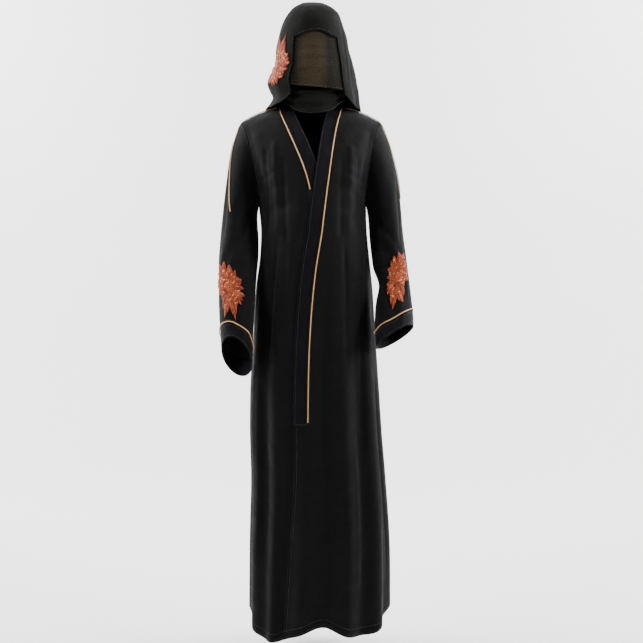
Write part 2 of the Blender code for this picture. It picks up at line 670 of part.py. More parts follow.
def shoulder_line(side, shares):
    """The shoulder seam from the neck point (0) to the shoulder tip (1)."""
    middle = (NECK_POINT + SHOULDER_TIP) / 2 + [0, 0, SHOULDER_RISE]
    return along([NECK_POINT, middle, SHOULDER_TIP], shares) * [side, 1, 1]


def neck_seam(shares):
    """The neck seam round the back, from the left neck point (-1) to the right one (1)."""
    turn = np.asarray(shares) * math.pi / 2
    ahead = np.cos(turn)
    x, y, z = -NECK_POINT[0] * np.sin(turn), NECK_BACK_DEPTH * ahead, -NECK_BACK_DROP * ahead
    return np.stack([x, y, z], axis=-1)


def collar_edge(shares):
    """The free edge of the neck band round the back, from left (-1) to right (1)."""
    turn = np.asarray(shares) * math.pi / 2
    rise = COLLAR_RISE - NECK_BACK_DROP * np.cos(turn)
    return np.stack([-COLLAR_HALF_WIDTH * np.sin(turn), COLLAR_DEPTH * np.cos(turn), rise], axis=-1)


def front_lower(side):
    """Points and angles of a front below the yoke line; the band's columns come first."""
    heights = lower_heights()[:, None]
    edge = read(FRONT_EDGE, "edge", heights)
    band_shares = np.linspace(0, 1, BAND_COLUMNS + 1)[None]
    band = body_angle(edge + BAND_WIDTH * band_shares, heights)
    band = band if side > 0 else band[:, ::-1]
    panel_shares = np.linspace(0, 1, FRONT_COLUMNS + 1)[None, 1:]
    panel = band[:, -1:] + (90.0 * side - band[:, -1:]) * panel_shares
    angles = np.concatenate([band, panel], axis=1)
    return body_point(angles, hem_height(heights, angles)), angles


def front_upper(side, lower_row):
    """Points of a front from the yoke line to the shoulder; the band's columns come first."""
    rows = YOKE_ROWS + ARMHOLE_ROWS + 1
    column = "left" if side > 0 else "right"
    seam = [lower_row[BAND_COLUMNS]]
    for row in BAND_SEAM[1:]:
        seam.append((row[column], CHEST_CURVE * row[column] ** 2 - row["front"], row["height"]))
    seam.append(NECK_POINT * [side, 1, 1])
    seam = along(seam, np.linspace(0, 1, rows))
    shoulder = shoulder_line(side, np.linspace(0, 1, FRONT_COLUMNS + 1))
    panel = blended_patch(lower_row[BAND_COLUMNS:], shoulder, seam, side_boundary(side, -1))

    up = np.linspace(0, 1, rows)[:, None]
    first = lower_row[0] - lower_row[BAND_COLUMNS]
    last = collar_edge(-side) - NECK_POINT * [side, 1, 1]
    run = unit(np.gradient(seam, axis=0))
    run[0] = [0, 0, 1]
    inward = first * (1 - up) + last * up
    inward = unit(inward - (inward * run).sum(axis=-1, keepdims=True) * run) * BAND_WIDTH
    shares = np.linspace(1, 0, BAND_COLUMNS + 1)[None, :-1, None]
    strip = seam[:, None] + inward[:, None] * shares
    height = strip[..., 2]
    on_chest = CHEST_CURVE * strip[..., 0] ** 2 - read(BAND_SEAM, "front", height)
    strip[..., 1] += (on_chest - strip[..., 1]) * smooth_step((CHEST_TOP - height) / CHEST_EASE)
    strip[0] = lower_row[:BAND_COLUMNS]
    return np.concatenate([strip, panel], axis=1)


def front_panel(side):
    """One front with its band, and the angle of each point."""
    lower, angles = front_lower(side)
    upper = front_upper(side, lower[-1])
    angles = np.concatenate([angles, np.repeat(angles[-1:], len(upper) - 1, axis=0)])
    return Panel(np.concatenate([lower, upper[1:]]), flip=side < 0), angles


def under_layer(grid):
    """How deep the lower front lies where the upper front covers it, easing out beside it."""
    height = grid[..., 2]
    below = read(FRONT_EDGE, "edge", np.minimum(height, YOKE_HEIGHT))
    above = read(BAND_SEAM, "edge", np.maximum(height, YOKE_HEIGHT))
    edge = np.where(height < YOKE_HEIGHT, below, above)
    return -LAYER_STEP * smooth_step((grid[..., 0] - edge + LAP_REACH) / LAP_EASE)


def back_panel():
    """The back from side seam to side seam, and the angle of each point."""
    heights = lower_heights()[:, None]
    columns = 2 * SHOULDER_COLUMNS + NECK_COLUMNS
    angles = np.repeat(np.linspace(90, 270, columns + 1)[None], len(heights), axis=0)
    lower = body_point(angles, hem_height(heights, angles))
    left = shoulder_line(1, np.linspace(1, 0, SHOULDER_COLUMNS + 1))
    right = shoulder_line(-1, np.linspace(0, 1, SHOULDER_COLUMNS + 1))
    top = np.concatenate([left, neck_seam(np.linspace(-1, 1, NECK_COLUMNS + 1))[1:-1], right])
    upper = blended_patch(lower[-1], top, side_boundary(1, 1), side_boundary(-1, 1))
    up, across = np.linspace(0, 1, len(upper))[:, None], np.linspace(-1, 1, columns + 1)[None]
    upper[..., 1] -= BACK_HOLLOW * np.sin(math.pi * up) * (1 - across**2)
    angles = np.concatenate([angles, np.repeat(angles[-1:], len(upper) - 1, axis=0)])
    return Panel(np.concatenate([lower, upper[1:]])), angles


def neck_strip(side, first_row):
    """Half of the band round the back of the neck, from the neck point to the middle of the back."""
    shares = np.linspace(-side, 0, NECK_COLUMNS // 2 + 1)
    across = np.linspace(0, 1, BAND_COLUMNS + 1)[None, :, None]
    grid = collar_edge(shares)[:, None] * (1 - across) + neck_seam(shares)[:, None] * across
    grid[0] = first_row
    return Panel(grid, flip=side < 0)


# Sleeves


def armhole_ring(side):
    """The armhole as a ring from the shoulder tip down the front, and up the back."""
    front, back = armhole_curve(side, -1), armhole_curve(side, 1)
    return np.concatenate([front[::-1], back[1:-1]])


def sleeve_panel(side):
    """Rings of a sleeve from the armhole to the cuff's edge; between the last two lies the cuff."""
    table = LEFT_SLEEVE if side > 0 else RIGHT_SLEEVE
    cuff = CUFF_SHARES["left" if side > 0 else "right"]
    flip = np.array([side, 1, 1])
    ring = armhole_ring(side) * flip
    count = len(ring)
    places = np.linspace(0, 1, len(table) + 1)
    outer_line = np.array([ring[0]] + [row["outer"] for row in table])
    inner_line = np.array([ring[count // 2]] + [row["inner"] for row in table])
    shares = np.append(np.linspace(0, 1 - cuff, SLEEVE_ROWS), 1.0)
    outer, inner = smooth_through(places, outer_line, shares), smooth_through(places, inner_line, shares)
    depth = smooth_through(places, [table[0]["depth"]] + [row["depth"] for row in table], shares)
    raised = np.radians(smooth_through(places, [0] + [row["raise"] for row in table], shares))
    forward = np.stack([0 * raised, -np.cos(raised), np.sin(raised)], axis=-1) * depth[:, None]
    turn = np.linspace(0, 2 * math.pi, count, endpoint=False)[None, :, None]
    grid = (
        ((outer + inner) / 2)[:, None]
        + ((outer - inner) / 2)[:, None] * np.cos(turn)
        + forward[:, None] * np.sin(turn)
    )
    ease = (1 - smooth_step(shares / ARMHOLE_BLEND))[:, None, None]
    grid = grid + (ring - grid[0])[None] * ease
    return Panel(grid * flip, flip=side < 0, closed=True), shares


def sleeve_fold(panel, shares):
    """How far a sleeve's folds stand out at each of its points."""
    count = panel.grid.shape[1]
    angle = np.linspace(0, 360, count, endpoint=False)[None]
    share = shares[:, None]
    total = np.zeros(panel.grid.shape[:2])
    for fold in SLEEVE_FOLDS:
        place = np.clip((share - fold["from"]) / (fold["to"] - fold["from"]), 0, 1)
        centre = fold["start"] + (fold["end"] - fold["start"]) * place
        begun = smooth_step((share - fold["from"]) / SLEEVE_FOLD_EASE)
        ended = smooth_step((share - fold["to"]) / SLEEVE_FOLD_EASE)
        total += fold["depth"] * begun * (1 - ended) * bell(angle_between(angle, centre), fold["spread"])
    return total


def sleeve_piping(name, panel, side, collection):
    """The cord from the neck along the shoulder and down the outer side of a sleeve."""
    rows = np.arange(0, round(SLEEVE_PIPING_SHARE * SLEEVE_ROWS) + 1)
    angle = SLEEVE_PIPING_ANGLES["left" if side > 0 else "right"]
    columns = rows / rows[-1] * angle / 360 * panel.grid.shape[1]
    lift = PIPING_RADIUS + PIPING_LIFT
    lower = on_grid(panel.grid, rows, columns) + unit(on_grid(panel.outward, rows, columns)) * lift
    shoulder = shoulder_line(side, np.linspace(0.07, 0.9, 6)) + [0, 0, lift]
    piping(name, np.concatenate([shoulder, lower]), collection)


# Scarf and veil


def hood_point(angle, height):
    """A point of the scarf over the head, before its folds."""
    height = np.asarray(height, float)
    sizes = [read(HOOD_SECTIONS, column, height) for column in ("left", "right", "front", "back")]
    x, y = rounded(angle, *sizes)
    return np.stack([x, y, height + 0 * x], axis=-1)


def hood_panel():
    """The scarf over the head. The columns that cross the face come last."""
    open_to = FACE_ANGLE + FACE_HALF_ANGLE
    around = np.linspace(open_to, open_to + 360 - 2 * FACE_HALF_ANGLE, HOOD_COLUMNS + 1)
    face = np.linspace(around[-1], open_to + 360, FACE_COLUMNS + 1)[1:-1]
    angles = np.concatenate([around, face])
    edge = read(HOOD_EDGE, "height", np.concatenate([around, 0 * face + around[-1]]), key="angle")
    shares = np.linspace(0, 1, HOOD_ROWS + 1)[:, None]
    top = FACE_TOP - FACE_ARCH * smooth_step(np.abs(angle_between(angles, FACE_ANGLE)) / FACE_HALF_ANGLE)
    heights = edge[None] * (1 - shares) + top[None] * shares
    crown = np.repeat(np.array(CROWN_HEIGHTS)[:, None], len(angles), axis=1)
    heights = np.concatenate([heights, crown])
    angles = np.repeat(angles[None], len(heights), axis=0)
    return Panel(hood_point(angles, heights), closed=True), angles


def hood_fold(angle, height):
    """How far the scarf's folds stand out at an angle and height."""
    total = np.zeros(np.shape(angle))
    for fold in HOOD_FOLDS:
        grown = smooth_step((fold["start"] - height) / HOOD_FOLD_GROWTH)
        total += fold["depth"] * grown * bell(angle_between(angle, fold["angle"]), fold["spread"])
    return total


def scarf_over_head(collection):
    """The scarf over the head, open at the face and below, as a panel with its wall."""
    panel, angles = hood_panel()
    directions = join([panel])[0]
    panel.grid = panel.grid + directions * hood_fold(angles, panel.grid[..., 2])[..., None]
    join([panel])
    rows, columns = panel.grid.shape[:2]
    mask = np.ones((rows - 1, columns), bool)
    mask[:HOOD_ROWS, HOOD_COLUMNS:] = False
    faces = panel.triangles(mask)
    last = np.arange((rows - 1) * columns, rows * columns)
    pole = np.full(columns, rows * columns)
    faces = np.concatenate([faces, np.stack([last, np.roll(last, -1), pole], axis=1)])
    top = np.array([CROWN_TOP])
    outer = np.concatenate([panel.grid.reshape(-1, 3), top])
    inner = panel.grid - panel.outward * CLOTH
    inner = np.concatenate([inner.reshape(-1, 3), top - [0, 0, CLOTH]])
    wall("scarf_hood", outer, inner, faces, "scarf_cloth", collection)
    return panel


def inside_hood(hood, angles, heights, gap):
    """Points inside the wall of the scarf over the head, this far from it."""
    column = HOOD_COLUMNS * ((angles - FACE_ANGLE - FACE_HALF_ANGLE) % 360) / (360 - 2 * FACE_HALF_ANGLE)
    column = column + 0 * heights
    low, high = (on_grid(hood.grid, np.full(column.shape, row), column)[..., 2] for row in (0, HOOD_ROWS))
    row = HOOD_ROWS * (heights - low) / (high - low)
    return on_grid(hood.grid, row, column) - on_grid(hood.outward, row, column) * (CLOTH + gap)[..., None]


def scarf_round_neck(hood, collection):
    """The stretch of the scarf across the front of the neck; its ends are tucked inside the other."""
    first, last = WRAP_SECTIONS[0]["angle"], WRAP_SECTIONS[-1]["angle"]
    angles = np.linspace(first, last, WRAP_COLUMNS + 1)[None]
    up = np.linspace(0, 1, WRAP_ROWS + 1)[:, None]
    low = read(WRAP_SECTIONS, "low", angles, key="angle")
    high = read(WRAP_SECTIONS, "high", angles, key="angle")
    heights = low * (1 - up) + high * up
    reach = read(WRAP_SECTIONS, "reach", angles, key="angle") + 0 * heights
    x, y = rounded(angles, reach * WRAP_SIDE_SHARE, reach * WRAP_SIDE_SHARE, reach, reach)
    grid = np.stack([x + WRAP_MIDDLE, y, heights], axis=-1)
    roll = WRAP_ROLL_DEPTH * np.cos(2 * math.pi * WRAP_ROLLS * (up - 0.5)) * (1 - (2 * up - 1) ** 4)
    beyond = np.abs(angle_between(angles, (first + last) / 2)) - (last - first) / 2
    tucked = smooth_step(beyond / WRAP_TUCK + 1)
    grid = grid + unit(grid * [1, 1, 0]) * (roll * (1 - tucked))[..., None]
    ends = bell(angles - first, WRAP_END) + bell(angles - last, WRAP_END)
    gap = WRAP_TUCK_GAP + (WRAP_END_GAP - WRAP_TUCK_GAP) * ends
    panel = Panel(grid + (inside_hood(hood, angles, heights, gap) - grid) * tucked[..., None])
    join([panel])
    cloth("scarf_neck_wrap", panel, "scarf_cloth", collection)


def veil_layer(name, collection):
    """One layer of the face veil: it lies inside the scarf's edge and stands forward over the face."""
    layer = VEIL_LAYERS[name]
    beside = np.linspace(-VEIL_HALF_ANGLE, VEIL_HALF_ANGLE, VEIL_COLUMNS + 1)[None]
    up = np.linspace(0, 1, layer["rows"] + 1)[:, None]
    low = layer["low"] + layer["slant"] * beside / VEIL_HALF_ANGLE
    heights = low * (1 - up) + layer["high"] * up
    base = hood_point(beside + FACE_ANGLE, heights)
    inward = unit(base * [1, 1, 0])
    forward = read(VEIL_PROFILE, "forward", heights) * np.cos(np.radians(90 * beside / VEIL_HALF_ANGLE)) ** 3
    grid = base - inward * layer["inset"]
    grid[..., 1] -= forward
    panel = Panel(grid)
    join([panel])
    cloth(name, panel, "veil_cloth", collection, thickness=VEIL_CLOTH)


# Sewn-on sprays


def spray(name, panel, collection):
    """A spray of leaves sewn on a panel."""
    place = SPRAYS[name]
    turn = np.degrees(np.linspace(0, 2 * math.pi, APPLIQUE_POINTS, endpoint=False))
    reach = np.full(APPLIQUE_POINTS, SPRAY_HEART)
    for lobe in SPRAY_LOBES:
        reach = np.maximum(reach, lobe["reach"] * bell(angle_between(turn, lobe["angle"]), lobe["width"]))
    steps = np.linspace(1, SPRAY_INNER_RING, APPLIQUE_RINGS)[:, None]
    row = place["row"] + place["rows"] * steps * (reach * np.sin(np.radians(turn)))[None]
    column = place["column"] + place["columns"] * steps * (reach * np.cos(np.radians(turn)))[None]
    row, column = np.append(row.reshape(-1), place["row"]), np.append(column.reshape(-1), place["column"])
    column = column % panel.grid.shape[1]
    grid = np.concatenate([panel.grid, panel.grid[:, :1]], axis=1)
    outward = np.concatenate([panel.outward, panel.outward[:, :1]], axis=1)
    out = unit(on_grid(outward, row, column))
    inner = on_grid(grid, row, column) + out * place["lift"]
    outer = inner + out * APPLIQUE_THICKNESS
    number = np.arange(APPLIQUE_RINGS * APPLIQUE_POINTS).reshape(APPLIQUE_RINGS, APPLIQUE_POINTS)
    nearer = np.roll(number, -1, axis=1)
    a, b, c, d = number[:-1], nearer[:-1], nearer[1:], number[1:]
    faces = np.concatenate([
        np.stack([a, b, c], axis=-1).reshape(-1, 3),
        np.stack([a, c, d], axis=-1).reshape(-1, 3),
        np.stack([number[-1], nearer[-1], np.full(APPLIQUE_POINTS, number.size)], axis=-1),
    ])
    faces = faces[:, ::-1] if panel.flip else faces
    wall(name, outer, inner, faces, "applique_thread", collection)


# The whole set


def make_robe(collection):
    """All pieces of the robe."""
    every = slice(None)
    fronts = {side: front_panel(side) for side in (1, -1)}
    back, back_angles = back_panel()
    sleeves = {side: sleeve_panel(side) for side in (1, -1)}
    strips = {side: neck_strip(side, fronts[side][0].grid[-1, : BAND_COLUMNS + 1]) for side in (1, -1)}
    panels = [fronts[1][0], fronts[-1][0], back, sleeves[1][0], sleeves[-1][0], strips[1], strips[-1]]
    directions = join(panels)

    columns_from_armhole = np.arange(BAND_COLUMNS + FRONT_COLUMNS + 1)[::-1]
    ease = smooth_step(columns_from_armhole / 3) * smooth_step(np.arange(len(columns_from_armhole)) / 4)
    for number, side in enumerate((1, -1)):
        panel, angles = fronts[side]
        shift = body_fold(angles, panel.grid[..., 2]) + yoke_fold(panel.grid, "front") * ease
        if side < 0:
            shift = shift + under_layer(panel.grid)
        panel.grid = panel.grid + directions[number] * shift[..., None]
    back_columns = np.arange(back.grid.shape[1])
    ease = smooth_step(np.minimum(back_columns, back_columns[::-1]) / 3)
    shift = body_fold(back_angles, back.grid[..., 2]) + yoke_fold(back.grid, "back") * ease
    back.grid = back.grid + directions[2] * shift[..., None]
    for number, side in ((3, 1), (4, -1)):
        panel, shares = sleeves[side]
        panel.grid = panel.grid + directions[number] * sleeve_fold(panel, shares)[..., None]
    join(panels)
    for side in (1, -1):
        square_to_shoulder(fronts[side][0], slice(BAND_COLUMNS + 1, -1), side)
    square_to_shoulder(back, slice(1, SHOULDER_COLUMNS), 1)
    square_to_shoulder(back, slice(-SHOULDER_COLUMNS, -1), -1)

    cloth("back", back, "robe_cloth", collection, grid=drawn_back(
        back.grid, (every, 0, 0, 1), (every, -1, 0, -1), (-1, every, -1, 0)))
    for side, name in ((1, "left"), (-1, "right")):
        make_front(side, name, fronts[side][0], strips[side], collection)
        make_sleeve(side, name, sleeves[side][0], collection)


def make_front(side, name, panel, strip, collection):
    """A front, its band with the half of it round the neck, and the cord on the band's seam."""
    band = BAND_COLUMNS
    above = slice(HEM_ROWS, None)
    grid = drawn_back(
        panel.grid,
        (slice(None), -1, 0, -1),
        (-1, slice(band, None), -1, 0),
        (above, band, 0, 1),
        (HEM_ROWS, slice(0, band + 1), -1, 0),
    )
    mask = np.ones((panel.grid.shape[0] - 1, panel.grid.shape[1] - 1), bool)
    mask[HEM_ROWS:, :band] = False
    cloth("front_" + name, panel, "robe_cloth", collection, grid=grid, mask=mask)

    joined = Panel(np.concatenate([panel.grid[above, : band + 1], strip.grid[1:]]), flip=side < 0)
    joined.outward = np.concatenate([panel.outward[above, : band + 1], strip.outward[1:]])
    grid = drawn_back(
        joined.grid,
        (slice(None), band, 0, -1),
        (0, slice(None), 1, 0),
        (-1, slice(None), -1, 0),
    )
    cloth("band_" + name, joined, "band_cloth", collection, grid=grid)

    path = joined.grid[:, band] + unit(joined.outward[:, band]) * (PIPING_RADIUS + PIPING_LIFT)
    if side < 0:
        visible = joined.grid[:, band, 2] > RIGHT_PIPING_END
        path = path[visible]
    ends = (0.4 * path[1] + 0.6 * path[0], 0.1 * path[-2] + 0.9 * path[-1])
    piping("piping_front_" + name, np.concatenate([[ends[0]], path[1:-1], [ends[1]]]), collection)


def make_sleeve(side, name, panel, collection):
    """A sleeve, its cuff band, and the cords on the cuff's seam and along the shoulder."""
    seam = SLEEVE_ROWS - 1
    every = slice(None)
    upper = Panel(panel.grid[: seam + 1], panel.flip, True)
    upper.outward = panel.outward[: seam + 1]
    cloth("sleeve_" + name, upper, "robe_cloth", collection,
          grid=drawn_back(upper.grid, (0, every, 1, 0), (-1, every, -1, 0)))
    cuff = Panel(panel.grid[seam:], panel.flip, True)
    cuff.outward = panel.outward[seam:]
    cloth("cuff_" + name, cuff, "band_cloth", collection, grid=drawn_back(cuff.grid, (0, every, 1, 0)))
    ring = panel.grid[seam] + unit(panel.outward[seam]) * (PIPING_RADIUS + PIPING_LIFT)
    piping("piping_cuff_" + name, ring, collection, ring=True)
    sleeve_piping("piping_sleeve_" + name, panel, side, collection)
    spray("applique_sleeve_" + name, panel, collection)


def main():
    collection = clear_scene()
    make_robe(collection)
    hood = scarf_over_head(collection)
    scarf_round_neck(hood, collection)
    for name in VEIL_LAYERS:
        veil_layer(name, collection)
    spray("applique_scarf", hood, collection)


main()
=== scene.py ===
# %% [markdown]
# A worn set in cloth: a long front-opening robe, a headscarf and a layered face veil
#
# This lesson dresses a set of plain solids. The solids say where each piece of cloth is and how
# thick it is, and they stay underneath for collision. Here each piece gets a finer surface, soft
# creases, stitches, cords and beads, and a finish that reads as crepe, satin or sheer veiling.
# Lengths are in metres, +Z is up and the front faces -Y, as in the solids.

# %% The frame
import math

import bpy
import numpy as np
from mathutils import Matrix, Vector


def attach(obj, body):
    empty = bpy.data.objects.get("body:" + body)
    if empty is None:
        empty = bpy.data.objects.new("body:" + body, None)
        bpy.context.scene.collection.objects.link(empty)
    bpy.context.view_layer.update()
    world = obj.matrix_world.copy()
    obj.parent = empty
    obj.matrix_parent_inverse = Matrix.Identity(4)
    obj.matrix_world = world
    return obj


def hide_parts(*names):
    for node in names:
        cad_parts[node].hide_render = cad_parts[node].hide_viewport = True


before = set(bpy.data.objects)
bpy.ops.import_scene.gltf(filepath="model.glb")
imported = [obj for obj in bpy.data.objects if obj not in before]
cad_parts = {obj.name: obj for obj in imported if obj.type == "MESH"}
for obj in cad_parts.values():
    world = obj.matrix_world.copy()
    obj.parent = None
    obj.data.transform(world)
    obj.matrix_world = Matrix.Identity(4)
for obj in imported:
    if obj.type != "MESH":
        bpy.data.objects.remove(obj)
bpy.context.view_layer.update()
print("solids to dress:", len(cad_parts))

# %% [markdown]
# The camera
#
# A garment is best shown from the height of its middle, so that neither the shoulders nor the
# hem lean away. The camera looks level from there, and a small vertical shift brings the whole
# length into a square picture, as a tall lens on a stand would.

# %% Camera
CAMERA_PLACE = (0.0294, -2.9, -0.26)
LENS_MM, SENSOR_MM = 58.0, 36.0
VERTICAL_SHIFT = -0.1876


def placed(name, data):
    """An object that holds this data, linked to the scene."""
    made = bpy.data.objects.new(name, data)
    bpy.context.scene.collection.objects.link(made)
    return made


camera_data = bpy.data.cameras.new("studio_camera")
camera_data.lens, camera_data.sensor_width, camera_data.shift_y = LENS_MM, SENSOR_MM, VERTICAL_SHIFT
camera = placed("studio_camera", camera_data)
camera.location, camera.rotation_euler = CAMERA_PLACE, (math.radians(90), 0, 0)
bpy.context.scene.camera = camera
print("camera at", CAMERA_PLACE)

# %% [markdown]
# Reading tables as curves
#
# A dressmaker notes a body at a few heights and lets the cloth run smoothly between them. The
# same is done here: short tables give sizes at named heights, and one function draws a smooth
# curve through them. It works on whole arrays, so a table becomes a surface in one step.

# %% Curves
def smooth_step(value):
    """3 v^2 - 2 v^3 for v held between 0 and 1: an even S from 0 to 1."""
    share = np.clip(value, 0.0, 1.0)
    return share * share * (3 - 2 * share)


def unit(vectors):
    """Each vector divided by its own length."""
    return vectors / np.maximum(np.linalg.norm(vectors, axis=-1, keepdims=True), 1e-12)


def bell(distance, spread):
    """e to the power of minus (distance over spread) squared: 1 in the middle, fading on both sides."""
    return np.exp(-((distance / spread) ** 2))


def cubic(start, leave, end, arrive, share):
    """The cubic from start to end that sets out along leave and comes in along arrive."""
    left = (1 - share) ** 2
    return (start * (1 + 2 * share) * left + leave * share * left
            + end * share**2 * (3 - 2 * share) + arrive * share**2 * (share - 1))


def smooth_through(places, values, wanted):
    """A cubic between each two places, with the values there and slopes taken from their neighbours."""
    places, values = np.asarray(places, float), np.asarray(values, float)
    wanted = np.clip(np.asarray(wanted, float), places[0], places[-1])
    slopes = np.gradient(values, places, axis=0)
    index = np.clip(np.searchsorted(places, wanted, side="right") - 1, 0, len(places) - 2)
    step = places[index + 1] - places[index]
    share = (wanted - places[index]) / step
    if values.ndim > 1:
        share, step = share[..., None], step[..., None]
    return cubic(values[index], slopes[index] * step, values[index + 1], slopes[index + 1] * step, share)


def table(columns, *rows):
    """A table with named columns: each row becomes a dictionary of column name to number."""
    return [dict(zip(columns.split(), row)) for row in rows]


def read(rows, column, wanted, key="height"):
    """A column of a table as a smooth function of its key column."""
    rows = sorted(rows, key=lambda row: row[key])
    return smooth_through([row[key] for row in rows], [row[column] for row in rows], wanted)


def along(points, shares):
    """Points at these shares of the length of a smooth curve through the given points."""
    points = np.asarray(points, float)
    lengths = np.concatenate([[0], np.cumsum(np.linalg.norm(np.diff(points, axis=0), axis=1))])
    return smooth_through(lengths / lengths[-1], points, shares)


def angle_between(angle, other):
    """The difference of two angles in degrees, the short way round: (a - b + 180) mod 360 - 180."""
    return (np.asarray(angle) - other + 180.0) % 360.0 - 180.0


print("half way up the S:", smooth_step(0.5))

# %% [markdown]
# The cut of the robe
#
# The robe is an open gown: two fronts, one back, two wide sleeves set into the armholes, a
# straight band round the neck and down both front edges, and a band at each cuff. Its form is
# given by rounded sections round the body, one for each height. Angles go round the body from 0
# at the front through 90 at the wearer's left to 180 at the back.

# %% Sizes of the robe
FINE = 6
CLOTH, VEIL_CLOTH = 0.0013, 0.0008
HALF_GAP, LAYER_STEP = 0.00012, 0.0040
BAND_WIDTH = 0.037
HEM_HEIGHT, PLACKET_END, YOKE_HEIGHT, ARMPIT_HEIGHT = -1.445, -0.862, -0.340, -0.275
HEM_LIFT_START = -1.05
NECK_POINT = np.array([0.088, 0.000, 0.000])
SHOULDER_TIP = np.array([0.196, 0.002, -0.042])
SHOULDER_RISE = 0.006
NECK_BACK_DEPTH, NECK_BACK_DROP = 0.080, 0.010
COLLAR_HALF_WIDTH, COLLAR_DEPTH, COLLAR_RISE = 0.052, 0.045, 0.012
LAP_REACH, LAP_EASE = 0.040, 0.032
BAND_SETTLES, BAND_SETTLE_EASE = -0.05, 0.08
CHEST_CURVE, BACK_HOLLOW, ROUNDNESS = 2.6, 0.032, 0.92

HEM_ROWS, PLACKET_ROWS, YOKE_ROWS, ARMHOLE_ROWS = 8 * FINE, 8 * FINE, 2 * FINE, 11 * FINE
BAND_COLUMNS, FRONT_COLUMNS = 2 * FINE, 12 * FINE
SHOULDER_COLUMNS, NECK_COLUMNS = 7 * FINE, 10 * FINE
SLEEVE_ROWS, CUFF_ROWS = 12 * FINE, FINE

BODY_SECTIONS = table(
    "height half_width front back middle",
    (-1.445, 0.1925, 0.150, 0.140, 0.022),
    (-1.200, 0.1905, 0.145, 0.132, 0.022),
    (-1.030, 0.1830, 0.141, 0.126, 0.018),
    (-0.900, 0.1795, 0.138, 0.123, 0.011),
    (-0.780, 0.1760, 0.137, 0.121, 0.008),
    (-0.650, 0.1700, 0.136, 0.118, 0.008),
    (-0.500, 0.1620, 0.138, 0.109, 0.009),
    (-0.400, 0.1510, 0.142, 0.106, 0.010),
    (-0.340, 0.1475, 0.144, 0.105, 0.008),
    (-0.275, 0.1500, 0.145, 0.106, 0.004),
)
FRONT_EDGE = table(
    "height edge",
    (-1.445, -0.076), (-1.340, -0.070), (-1.200, -0.060), (-1.100, -0.051), (-0.986, -0.045),
    (-0.850, -0.044), (-0.650, -0.040), (-0.540, -0.033), (-0.454, -0.024), (-0.340, -0.006),
)
BAND_SEAM = table(
    "height left right edge front",
    (-0.340, 0.0310, -0.0060, -0.006, 0.1440),
    (-0.250, 0.0415, 0.0015, 0.006, 0.1450),
    (-0.172, 0.0520, -0.0170, 0.015, 0.1390),
    (-0.115, 0.0600, -0.0400, 0.023, 0.1240),
    (-0.060, 0.0700, -0.0650, 0.033, 0.0990),
    (-0.024, 0.0790, -0.0810, 0.042, 0.0680),
)
HEM_LIFTS = table(
    "angle lift",
    (-90, 0.048), (-64, 0.016), (-38, 0.000), (-16, 0.026), (4, 0.046), (22, 0.024), (42, 0.018),
    (66, 0.034), (90, 0.052), (130, 0.020), (180, 0.006), (230, 0.018), (270, 0.048),
)
print("robe length from the shoulder: %.2f m" % (NECK_POINT[2] - HEM_HEIGHT))

# %% [markdown]
# Where the cloth folds
#
# Cloth that hangs from the shoulders falls in long folds that deepen towards the hem. They are
# uneven: some are deep and dark, others are slow swells. Each row below is one fold, with its
# angle at the knee and at the hem, where it starts, and how far it stands out or in. A second
# table adds the shorter, softer creases that a garment keeps from wear and from its sleeves.

# %% Folds of the robe
BODY_FOLDS = table(
    "knee hem start depth spread",
    (-82, -80, -0.45, -0.006, 8), (-64, -61, -0.40, 0.009, 9), (-47, -49, -0.42, -0.009, 7),
    (-33, -39, -0.38, 0.009, 8), (-19, -29, -0.80, -0.011, 7), (-6, -14, -0.78, 0.007, 8),
    (8, 2, -0.36, -0.014, 7), (25, 18, -0.34, 0.011, 9), (42, 36, -0.45, -0.009, 7),
    (58, 53, -0.38, 0.011, 9), (76, 72, -0.36, -0.010, 8), (97, 95, -0.40, 0.009, 9),
    (116, 114, -0.34, -0.012, 8), (136, 135, -0.31, 0.012, 9), (155, 157, -0.34, -0.012, 8),
    (178, 181, -0.30, 0.013, 10), (203, 204, -0.33, -0.013, 8), (223, 226, -0.31, 0.011, 9),
    (244, 246, -0.36, -0.010, 8), (261, 263, -0.44, 0.006, 8),
)
FOLD_GROWTH, FOLD_WIDENING = 0.50, 0.25
BODY_CREASES = table(
    "from to start end depth spread",
    (-70, -74, -0.36, -0.92, -0.0041, 3.0), (-55, -58, -0.62, -1.30, 0.0032, 3.2),
    (-40, -44, -0.34, -0.70, -0.0046, 3.0), (-28, -33, -0.95, -1.44, -0.0035, 2.8),
    (-24, -20, -0.34, -0.66, 0.0030, 3.0), (16, 12, -0.44, -1.05, 0.0035, 3.0),
    (20, 17, -1.02, -1.44, -0.0035, 2.6), (32, 28, -0.34, -0.74, -0.0046, 3.0),
    (36, 31, -0.86, -1.38, 0.0032, 2.8), (50, 46, -0.42, -0.98, -0.0041, 3.0),
    (67, 62, -0.50, -1.24, 0.0035, 3.2), (84, 82, -0.70, -1.40, -0.0038, 3.0),
    (106, 104, -0.46, -1.18, 0.0038, 3.2), (125, 126, -0.38, -0.86, -0.0043, 3.0),
    (146, 147, -0.58, -1.42, 0.0038, 3.0), (166, 169, -0.36, -1.02, -0.0043, 3.2),
    (190, 191, -0.50, -1.30, 0.0035, 3.0), (213, 215, -0.40, -0.94, -0.0043, 3.0),
    (234, 236, -0.62, -1.42, 0.0035, 3.0), (253, 255, -0.44, -1.10, -0.0038, 3.0),
)
